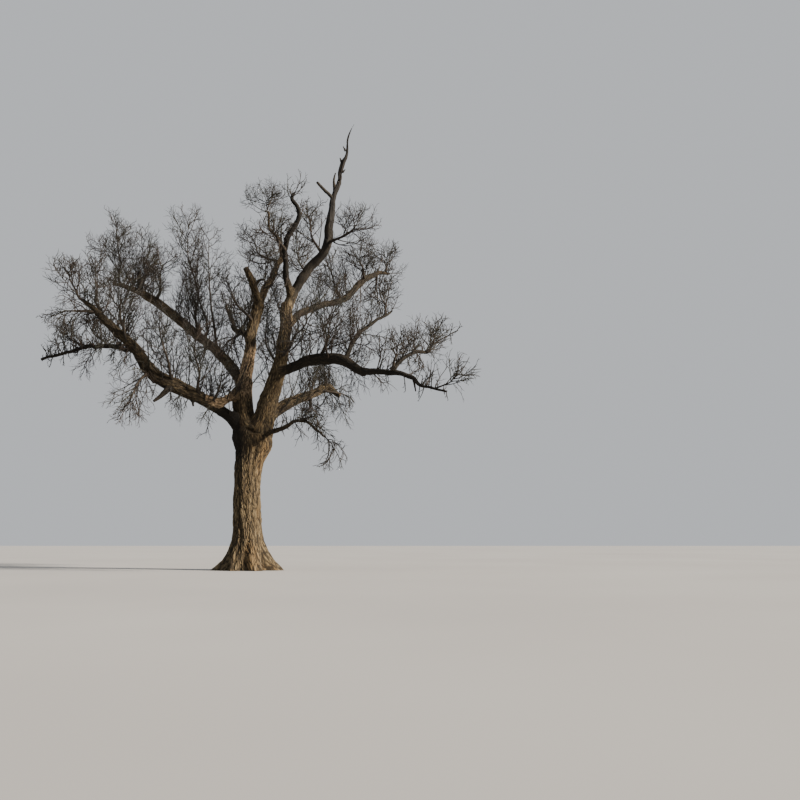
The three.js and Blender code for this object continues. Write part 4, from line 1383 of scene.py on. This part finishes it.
def keeping_to_space(shoots, guards, margin=SPACE_MARGIN):
    """Keeps the shoots whose every bend is nearer to their own stem than to any other, both counted in
    widths of the masses, within their own room from it, within the reach of the crown, and clear of all
    limbs."""
    places = shoots.path[:, 1:].reshape(-1, 3)
    mass = np.repeat(shoots.mass, shoots.path.shape[1] - 1)
    room = np.repeat(shoots.room, shoots.path.shape[1] - 1)
    reach = reach_to_stems(places)
    item = np.arange(len(places))
    own = reach[mass, item]
    reach[mass, item] = np.inf
    kept = (own < room) & (own < reach.min(axis=0) - margin)
    kept &= (np.abs(places - CROWN_MIDDLE) < CROWN_HALF).all(axis=1)
    for guard in guards:
        kept &= np.sum((places - guard[:3]) ** 2, axis=1) > (guard[3] + LIMB_MARGIN) ** 2
    return picked(shoots, kept.reshape(len(shoots.seed), -1).all(axis=1))


GUARD_SPACING = 0.25
guards = np.concatenate([
    on_course(bends, even_shares(bends, GUARD_SPACING)[0]) for bends in LIMBS.values()
])
side_shoots = keeping_to_space(side_shoots, guards)
print("side shoots that are kept:", len(side_shoots.seed), "by", len(guards), "guards on the limbs")

# %% [markdown]
# ## Shoots on the limbs
#
# A water shoot starts a little inside the bark and heads straight out of it, before the pull upwards or down
# bends it. It belongs to the mass that is nearest, so that it is drawn and coloured with it.

# %% Growing water shoots and long shoots


def sprouts_on(bends, seed_of_limb, spacing):
    """Water shoots on one limb. Shoot n stands on the skin at (n + 0.5 + chance) spacings, n golden angles
    round. It heads out, up and a little forward, or hangs from the underside. Its length is short + long *
    chance^2.2, less towards the limb's end and less on a thin limb. Steep limbs carry fewer."""
    total = even_shares(bends, GUARD_SPACING)[1][-1]
    number = np.arange(int(total / spacing))
    seed = scramble(scramble(seed_of_limb, 1), SALT["child"] + number)
    stage = (number + 0.5 + SPROUTS["stray"] * leaning(seed, SALT["place"])) / len(number)
    way = SPROUTS["first"] + (1 - SPROUTS["first"]) * stage
    spot = on_course(bends, way)
    step = SPROUTS["step"]
    ahead, behind = on_course(bends, np.minimum(way + step, 1)), on_course(bends, way - step)
    forward = unit(ahead[:, :3] - behind[:, :3])
    side = unit(np.cross(forward, SIDEWAYS))
    turn = (GOLDEN_ANGLE * number + CHANCE_OF["turn"] * leaning(seed, SALT["turn"]))[:, None]
    out = side * np.cos(turn) + np.cross(forward, side) * np.sin(turn)
    hanging = (out[:, 2] < SPROUTS["hangs_below"]) & (chance(seed, 6) < SPROUTS["hanging_share"])
    lift = np.where(hanging, -1.0, 1.0)
    heading = unit(out + forward * SPROUTS["ahead"] + np.array([0, 0, SPROUTS["rise"]]) * lift[:, None])
    length = SPROUTS["short"] + SPROUTS["long"] * chance(seed, 5) ** SPROUTS["curve"]
    length = length * np.where(hanging, SPROUTS["hang"], 1.0) * (SPROUTS["at_root"] - SPROUTS["fall"] * way)
    length = length * np.clip(spot[:, 3] / SPROUTS["full_on"], SPROUTS["least"], 1)
    start = spot[:, :3] + out * SPROUTS["sunk"] * spot[:, 3:]
    path = bend_on(start, heading, length, lift, seed, SPROUTS)
    mass = np.argmin(reach_to_stems(path[:, 2]), axis=0)
    room = np.full(len(seed), SPROUTS["room"])
    girth = SPROUTS["root"] + SPROUTS["girth"] * length
    shoots = Shoots(path, seed, length, girth, lift, mass, mass, room)
    likely = fullness[mass] * (1 - SPROUTS["fewer_on_steep"] * np.abs(forward[:, 2]))
    return picked(shoots, chance(seed, 7) < likely)


def grown_wisps():
    """The long shoots between the masses, each on a stem's curve and part of the mass nearest to it."""
    rows = [(limb, at, tip) for limb, wisps in WISPS.items() for at, tip in wisps]
    seeds = WISP["first_seed"] + np.arange(len(rows))
    path = np.stack([stem_path(*row, seed) for row, seed in zip(rows, seeds)])
    length = np.linalg.norm(np.diff(path, axis=1), axis=2).sum(axis=1)
    mass = np.argmin(reach_to_stems(path[:, 3]), axis=0)
    girth = WISP["root"] + WISP["girth"] * length
    lift = np.sign(path[:, -1, 2] - path[:, 0, 2])
    scale = np.minimum(length, WISP["longest"])
    room = np.full(len(rows), WISP["room"])
    return Shoots(path, seeds.astype(np.uint64), scale, girth, lift, mass, mass, room)


def together(*groups):
    """Several groups of shoots as one."""
    return Shoots(*(np.concatenate(fields) for fields in zip(*groups)))


sprouts = together(*(
    sprouts_on(bends, SPROUTS["first_seed"] + number, SPROUT_SPACING.get(limb, SPROUTS["spacing"]))
    for number, (limb, bends) in enumerate(LIMBS.items()) if limb not in BARE_LIMBS
))
sprouts = keeping_to_space(sprouts, guards, FINE_OVERLAP)
wisps = grown_wisps()
print("water shoots and long shoots:", len(sprouts.seed), len(wisps.seed))

# %% [markdown]
# ## The whole crown
#
# The ranks follow one another: side shoots, later shoots, water shoots and long shoots are branches,
# branches carry twigs, twigs carry sprigs, and sprigs carry the thinnest twiglets. Each rank is kept to
# its space before the next one grows on it. Each branch starts a spray of its own.

# %% Branches, twigs, sprigs and twiglets
wide = (stems.scale / stems.scale.mean()) ** WIDE_POWER
roomy = stems._replace(room=stems.room + LATER_ROOM)
later_shoots = grow(roomy, LATER_SHOOTS, SIDE_SHOOTS["count"], wide)
later_shoots = keeping_to_space(later_shoots, guards, NO_MARGIN)
branches = together(side_shoots, later_shoots, sprouts, wisps)
order = np.arange(len(branches.seed))
branches = branches._replace(spray=order + len(mass_names), room=branches.room + TWIG_ROOM)
solid = order < len(side_shoots.seed)
wispy = order >= len(branches.seed) - len(wisps.seed)
twigs = together(grow(picked(branches, solid), TWIGS), grow(picked(branches, ~solid & ~wispy), LATER_TWIGS))
wisp_twigs = grow(picked(branches, wispy), LATER_TWIGS, share=WISP["share"] / fullness[wisps.mass])
twigs = together(keeping_to_space(twigs, guards, NO_MARGIN),
                 keeping_to_space(wisp_twigs, guards, WISP["overlap"]))
sprigs = keeping_to_space(grow(twigs, SPRIGS), guards, FINE_OVERLAP)
twiglets = keeping_to_space(grow(sprigs, TWIGLETS), guards, FINE_OVERLAP)
kinds = {"stems": stems, "branches": branches, "twigs": twigs, "sprigs": sprigs, "twiglets": twiglets}
print({kind: len(shoots.seed) for kind, shoots in kinds.items()})

# %% [markdown]
# ## From paths to wood
#
# Thousands of bars are swept at once: all rings of all shoots of a kind are one array. Thick shoots get
# more sides and more rows on a smooth course, while the thinnest are three-sided spikes. A shoot thins
# from its root to its tip, never below what its own children need, and each ends in a point.

# %% Sweeping bars along many paths
DRAWN = {
    "stems": {"rows": 26, "sides": 9, "root": 0.035, "tip": 0.012},
    "branches": {"rows": 10, "sides": 5, "root": 0.024, "tip": 0.011},
    "twigs": {"rows": 5, "sides": 4, "root": 0.016, "tip": 0.008},
    "sprigs": {"rows": 3, "sides": 3, "root": 0.011, "tip": 0.0065},
    "twiglets": {"rows": 2, "sides": 3, "root": 0.008, "tip": 0.0045},
}


def swept(shoots, rows, sides, root, tip):
    """Rings round a smooth course through each shoot's bends. Their radius is tip + (root - tip) * (1 -
    way), root being the shoot's own girth or the least that is drawn. The last row is one point."""
    way = np.linspace(0, 1, rows + 1)
    count = len(shoots.seed)
    line = on_course(shoots.path, np.broadcast_to(way, (count, rows + 1)))
    _, across, over = frames_along(line)
    thick = np.maximum(shoots.girth, root)[:, None]
    radius = tip + (thick - tip) * (1 - way[None, :-1])
    turn = np.linspace(0, 2 * np.pi, sides, endpoint=False)
    spokes = across[:, :-1, None] * np.cos(turn)[:, None] + over[:, :-1, None] * np.sin(turn)[:, None]
    rings = line[:, :-1, None] + spokes * radius[..., None, None]
    places = np.concatenate([rings.reshape(count, -1, 3), line[:, -1:]], axis=1)
    quads, ends = ring_faces(rows, sides)

    # A bar has no middle point at its foot, so its tip is one number lower than on a limb
    point = ends[sides:] - [0, 0, 1]
    ring = np.arange(sides)
    foot = np.stack([0 * ring[2:], ring[2:], ring[1:-1]], axis=-1)
    closing = np.concatenate([point, foot])
    start = (np.arange(count) * places.shape[1])[:, None, None]
    return places.reshape(-1, 3), quads + start, closing + start


SPRAY_TINTS = 3


def spray_tint(spray, kind):
    """Which finish a spray has: 0 is the stems' own bark, and a branch's has one of the next three."""
    if kind == "stems":
        return np.zeros(len(spray), int)
    return 1 + (scramble(spray, 7) % np.uint64(SPRAY_TINTS)).astype(int)


def mass_mesh(number, kinds):
    """All the bars of one mass: points, quads and triangles, and for each face the finish of its spray."""
    places, quads, triangles, quad_tint, triangle_tint = [], [], [], [], []
    start = 0
    for kind, shoots in kinds.items():
        mine = picked(shoots, shoots.mass == number)
        if not len(mine.seed):
            continue
        spots, four, three = swept(mine, **DRAWN[kind])
        tint = spray_tint(mine.spray, kind)
        places.append(spots)
        quads.append((four + start).reshape(-1, 4))
        triangles.append((three + start).reshape(-1, 3))
        quad_tint.append(np.repeat(tint, four.shape[1]))
        triangle_tint.append(np.repeat(tint, three.shape[1]))
        start += len(spots)
    return (np.concatenate(places), np.concatenate(quads), np.concatenate(triangles),
            np.concatenate(quad_tint + triangle_tint))


mass_meshes = [mass_mesh(number, kinds) for number in range(len(mass_names))]
print("crown:", sum(2 * len(quads) + len(triangles) for _, quads, triangles, _ in mass_meshes), "triangles")

# %% [markdown]
# ## Finish of living bark
#
# The plates of oak bark are grey-brown and rough, warmer where algae and dust colour them ochre, with grey
# and green films of lichen here and there, and the furrows between are nearly black: partly their own dark
# colour and partly painted shade in the hollows. The colours follow the grain, which is stored on each
# point, and the furrow value that the relief was made from. On the trunk that value also holds the fold
# under the fork, so its crease is painted near black as a painted shadow. What is too fine for the mesh,
# cracks across the plates and their crumbling skin, is a bump.

# %% Living bark
OCHRE = (0.21, 0.125, 0.05, 1)
LICHEN = (0.16, 0.165, 0.12, 1)
# Pale of painted light, for plates where the stored shade is below 0
PAINTED_LIGHT_PALE = (0.4, 0.285, 0.175, 1)
# The furrows' own dark colour, deepened by painted shade in the hollows
FURROW_AND_SHADE_BLACK = (0.009, 0.007, 0.005, 1)
# Near black of painted shade, laid over bark and wood where the stored shade is above 0
PAINTED_SHADE_BLACK = (0.008, 0.0075, 0.007, 1)


def grain_place(tree, stretch=1.0):
    """The grain coordinates, in metres, shrunk along the limb so that a pattern on them is stretched."""
    stored = tree.nodes.new("ShaderNodeAttribute")
    stored.attribute_name = "grain"
    return node(tree, "Mapping", stored.outputs["Vector"], Scale=(1.0, 1.0, 1.0 / stretch))


def stored_value(tree, name):
    """A number stored on each point."""
    stored = tree.nodes.new("ShaderNodeAttribute")
    stored.attribute_name = name
    return stored.outputs["Fac"]


def bumped(tree, surface, height, strength, distance):
    """Raises the surface by a height pattern, in metres, without more mesh."""
    bump = node(tree, "Bump", Height=height, Strength=strength, Distance=distance)
    tree.links.new(bump, surface.inputs["Normal"])


def broken_wood(tree, long_grain):
    """The colour of wood without bark: grey-brown fibres with dark checks."""
    fibre = noise(tree, long_grain, 34.0, 4.0)
    return ramp(tree, fibre, (0.25, (0.022, 0.017, 0.013, 1)), (0.5, (0.085, 0.066, 0.05, 1)),
                (0.78, (0.2, 0.16, 0.12, 1)))


def bark_colour(tree):
    """Plates in grey-brown with ochre patches and faint lichen, and furrows nearly black, partly as painted
    shade.
    As far as the stored shade goes below 0, the plates are paled by painted light."""
    along = grain_place(tree, 9.0)
    level = grain_place(tree, 2.0)
    mottle = noise(tree, along, 13.0, 6.0, 0.62)
    plates = ramp(tree, mottle, (0.28, (0.028, 0.02, 0.014, 1)), (0.5, (0.1, 0.074, 0.041, 1)),
                  (0.72, (0.23, 0.18, 0.104, 1)))
    cloud = noise(tree, level, 0.9, 5.0, 0.62)
    plates = mixed(tree, times(tree, window(tree, cloud, 0.5, 0.7), 0.5), plates, OCHRE)
    film = noise(tree, level, 2.3, 7.0, 0.7)
    plates = mixed(tree, times(tree, window(tree, film, 0.58, 0.72), 0.3), plates, LICHEN)
    # Painted light: below 0 the stored shade pales the plates as if the lamp lit them
    plates = mixed(tree, times(tree, stored_value(tree, "shade"), -1.0), plates, PAINTED_LIGHT_PALE)
    # Furrows go nearly black: their own dark colour, and painted shade in the hollows
    return mixed(tree, times(tree, stored_value(tree, "furrow"), 0.9), plates, FURROW_AND_SHADE_BLACK)


def with_painted_shade(tree, colour):
    """A colour under a painted shade of near black, as far as the stored shade goes above 0."""
    return mixed(tree, times(tree, stored_value(tree, "shade"), 1.0), colour, PAINTED_SHADE_BLACK)


def bark_finish():
    """Bark, and bare wood where a limb is broken."""
    finish, tree, surface = new_finish("oak_bark", 0.93, 0.18)
    wood = broken_wood(tree, grain_place(tree, 12.0))
    whole = mixed(tree, stored_value(tree, "bare"), bark_colour(tree), wood)
    # Painted shade: the stored shade takes the whole colour towards near black
    tree.links.new(with_painted_shade(tree, whole), surface.inputs["Base Color"])
    cracks = node(tree, "TexVoronoi", Vector=grain_place(tree, 1.6), Scale=34.0,
                  settings={"feature": "DISTANCE_TO_EDGE"})
    crumble = noise(tree, grain_place(tree, 4.0), 48.0, 5.0)
    height = node(tree, "Math", window(tree, cracks, 0.0, 0.12), crumble, settings={"operation": "ADD"})
    bumped(tree, surface, height, 0.75, 0.012)
    return finish


bark = bark_finish()
print("living bark has", len(bark.node_tree.nodes), "nodes")

# %% [markdown]
# ## Finish of dead wood
#
# The spire has died and shed its bark. Its wood has weathered to dark grey, with brown where rain has washed
# it last, and dark splits along the grain. The fibres are a noise drawn out 14 times along the grain.

# %% Dead wood
SPLIT_BLACK = (0.014, 0.011, 0.009, 1)
RAIN_BROWN = (0.034, 0.021, 0.014, 1)


def dead_wood_finish():
    """Grey and brown fibres with dark splits, and patches of old bark low down."""
    finish, tree, surface = new_finish("weathered_wood", 0.86, 0.2)
    long_grain = grain_place(tree, 14.0)
    fibre = noise(tree, long_grain, 30.0, 5.0, 0.6)
    grey_wood = ramp(tree, fibre, (0.28, (0.008, 0.0065, 0.006, 1)), (0.5, (0.022, 0.018, 0.015, 1)),
                     (0.74, (0.06, 0.051, 0.043, 1)))
    stain = noise(tree, grain_place(tree, 5.0), 2.2, 4.0)
    stained = mixed(tree, window(tree, stain, 0.46, 0.62), grey_wood, RAIN_BROWN)
    wood = mixed(tree, times(tree, stored_value(tree, "furrow"), 0.9), stained, SPLIT_BLACK)
    whole = mixed(tree, stored_value(tree, "bare"), bark_colour(tree), wood)
    # Painted shade: the stored shade takes the whole colour towards near black
    tree.links.new(with_painted_shade(tree, whole), surface.inputs["Base Color"])
    bumped(tree, surface, fibre, 0.6, 0.01)
    return finish


dead_wood = dead_wood_finish()
print("dead wood has", len(dead_wood.node_tree.nodes), "nodes")

# %% [markdown]
# ## Finish of twigs
#
# A twig is too thin for a pattern to show, so each spray has one plain colour, dealt out by chance:
# grey-brown, olive or umber. The stems, as thick as an arm, have young bark with darker and paler
# blotches.

# %% Twigs
SPRAY_COLOURS = {
    "spray_grey_brown": (0.018, 0.0155, 0.013, 1),
    "spray_olive": (0.0165, 0.016, 0.0115, 1),
    "spray_umber": (0.02, 0.0145, 0.0105, 1),
}


def young_bark_finish():
    """Grey-brown with darker and paler blotches."""
    finish, tree, surface = new_finish("young_bark", 0.88, 0.2)
    place = object_place(tree)
    blotch = noise(tree, place, 7.0, 5.0, 0.6)
    tree.links.new(ramp(tree, blotch, (0.3, (0.011, 0.009, 0.0075, 1)), (0.7, (0.042, 0.034, 0.026, 1))),
                   surface.inputs["Base Color"])
    bumped(tree, surface, noise(tree, place, 60.0, 3.0), 0.5, 0.006)
    return finish


def spray_finish(name, colour):
    """One plain colour, with a fine bump for the buds and scars."""
    finish, tree, surface = new_finish(name, 0.85, 0.25)
    surface.inputs["Base Color"].default_value = colour
    buds = noise(tree, object_place(tree), 90.0, 2.0)
    bumped(tree, surface, buds, 0.4, 0.003)
    return finish


spray_finishes = [young_bark_finish()] + [spray_finish(*entry) for entry in SPRAY_COLOURS.items()]
print("finishes of the crown:", [finish.name for finish in spray_finishes])

# %% [markdown]
# ## Painted shade and light on the bark
#
# Light and shade are painted into the bark's colour: some limbs are painted black as shade, and others pale
# as lit. So each limb's bark has a shade: from 0, its plain colour, it goes up to 1 for painted black shade
# and down to -1 for painted pale light. The limbs have the crown's own painted shade at their roots, so that
# no seam shows where they leave each other, and their own from about a metre on. Some are dark from the
# root, because they leave a dark limb. The left of the trunk under its fork is a flank of painted black
# shade that runs up the left leader, and all snags are painted dark too.

# %% Shade of the bark
# Each limb's own painted shade: above 0 it is painted towards black as shade, below 0 towards pale as lit
SHADE = {
    "left_leader": 0.12, "right_leader": 0.05, "grafted_arm": -0.9, "short_right_bough": 0.3,
    "upper_right_bough": 0.74, "inner_right_arm": 0.88, "right_fork_arm": 0.86, "low_left_bough": 0.42,
    "low_left_bough_end": 0.55, "far_left_arm": 0.85, "mid_right_bough": 0.82, "mid_right_bough_end": 0.88,
    "hooked_leader": 0.94, "drooping_bough": 0.5, "back_bough": 0.4, "upper_left_bough": 0.15,
    "dead_spire": 0.85,
}
# Painted shade of the limbs' roots and the trunk's top, and of snags; heights where the trunk darkens to it
CROWN_SHADE = 0.25
SNAG_SHADE = 0.85
TRUNK_DARKENS = (5.6, 7.0)
OWN_SHADE_FROM = (0.2, 1.2)
DARK_FROM_ROOT = (
    "right_fork_arm", "inner_right_arm", "mid_right_bough_end", "low_left_bough_end", "far_left_arm",
)

# Stretches with a painted shade of their own, black shade at the low left bough's root and pale light in the
# left leader's middle: that shade, and the metres along the limb between which it comes and goes
STRETCH_SHADE = {"low_left_bough": (0.95, (-1, 0, 1.2, 2.2)), "left_leader": (-1, (1.4, 2.6, 4.2, 5.2))}

# The flank of painted black shade left of the trunk: its shade, how far it leans out above the fork, how it
# comes in to the left of the trunk's middle, and the heights between which it comes and goes
PAINTED_SHADE_FLANK = {"shade": 0.92, "lean": 0.2, "fork": 6, "edge": (0.05, 0.4), "heights": (4.2, 5.6, 6.8, 8.6)}


def band(values, rise, full, fading, gone):
    """0 up to rise, 1 from full to fading, and 0 again from gone on."""
    return smooth_window(values, rise, full) * smooth_window(-values, -gone, -fading)


def with_painted_flank_shade(shade, places):
    """The shade, taken towards the flank's painted black shade as far as a place is on it: edge(-x - lean *
    rise) times the band of its heights."""
    x, z = places[:, 0], places[:, 2]
    beside = smooth_window(-x - PAINTED_SHADE_FLANK["lean"] * np.clip(z - PAINTED_SHADE_FLANK["fork"], 0, None), *PAINTED_SHADE_FLANK["edge"])
    return shade + (PAINTED_SHADE_FLANK["shade"] - shade) * (beside * band(z, *PAINTED_SHADE_FLANK["heights"]))


def shade_along(name, places, height):
    """The painted shade of each point from its limb, its place and its height along the limb: from the
    crown's shade at the root to the limb's own, then the limb's own stretch and the painted black flank,
    each as far as it reaches. Snags take the snags' painted shade."""
    if name == "trunk":
        return with_painted_flank_shade(CROWN_SHADE * smooth_window(height, *TRUNK_DARKENS), places)
    own = SHADE.get(name, CROWN_SHADE)
    shade = np.full(len(height), own)
    if name not in DARK_FROM_ROOT:
        shade = CROWN_SHADE + (own - CROWN_SHADE) * smooth_window(height, *OWN_SHADE_FROM)
    if name in STRETCH_SHADE:
        stretch, ends = STRETCH_SHADE[name]
        shade += (stretch - shade) * band(height, *ends)
    if name == "left_leader":
        shade = with_painted_flank_shade(shade, places)
    # Snags are painted dark with a painted shade of their own
    return np.where(height > LONGEST_LIMB, SNAG_SHADE, shade)


shades = {name: shade_along(name, skin.places, skin.grain[:, 2]) for name, skin in skins.items()}
for name in ("trunk", "grafted_arm", "left_leader", "mid_right_bough"):
    print(name, "has shades from", shades[name].min().round(2), "to", shades[name].max().round(2))

# %% [markdown]
# ## The pieces
#
# Each skin becomes one object that stands for its solid, with the same place, and rides on the tree's one
# body. A piece's name is its node's name and what it is made as.

# %% Pieces of the framework
for name, skin in skins.items():
    piece = mesh_object(f"{name}_bark", skin.places, skin.quads, skin.triangles)
    keep_value(piece, "grain", skin.grain)
    keep_value(piece, "furrow", skin.furrow)
    keep_value(piece, "bare", skin.bare)
    # Painted shade and light for each point, which the finishes lay over the bark's colour
    keep_value(piece, "shade", shades[name])
    dead = name == "dead_spire"
    piece.data.materials.append(dead_wood if dead else bark)
    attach(piece, "root")
    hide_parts(name)
print("framework:", len(skins), "pieces")

# %% [markdown]
# ## Pieces of the crown
#
# One mass is one piece, from its stem to its thinnest twiglets. All four finishes are put on every piece,
# and each face has the number of its own.

# %% Pieces of the crown
for name, (places, quads, triangles, tint) in zip(mass_names, mass_meshes):
    piece = mesh_object(f"{name}_sprays", places, quads, triangles)
    for finish in spray_finishes:
        piece.data.materials.append(finish)
    piece.data.polygons.foreach_set("material_index", tint.astype(np.int32))
    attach(piece, "root")
    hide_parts(name)
print("crown:", len(mass_names), "pieces")

# %% [markdown]
# ## Size
#
# The finer tree must fill the same box as its solids. For each axis the side of the solids' box is printed,
# with how far the finer tree's box stands out of it.

# %% Boxes
shown_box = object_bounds()
for axis, label in enumerate("XYZ"):
    side = packed_box[1][axis] - packed_box[0][axis]
    over = max(packed_box[0][axis] - shown_box[0][axis], shown_box[1][axis] - packed_box[1][axis])
    print(f"{label}: side {side:.2f} m, out by at most {over:.3f} m, allowed {0.03 * side + 0.01:.3f} m")
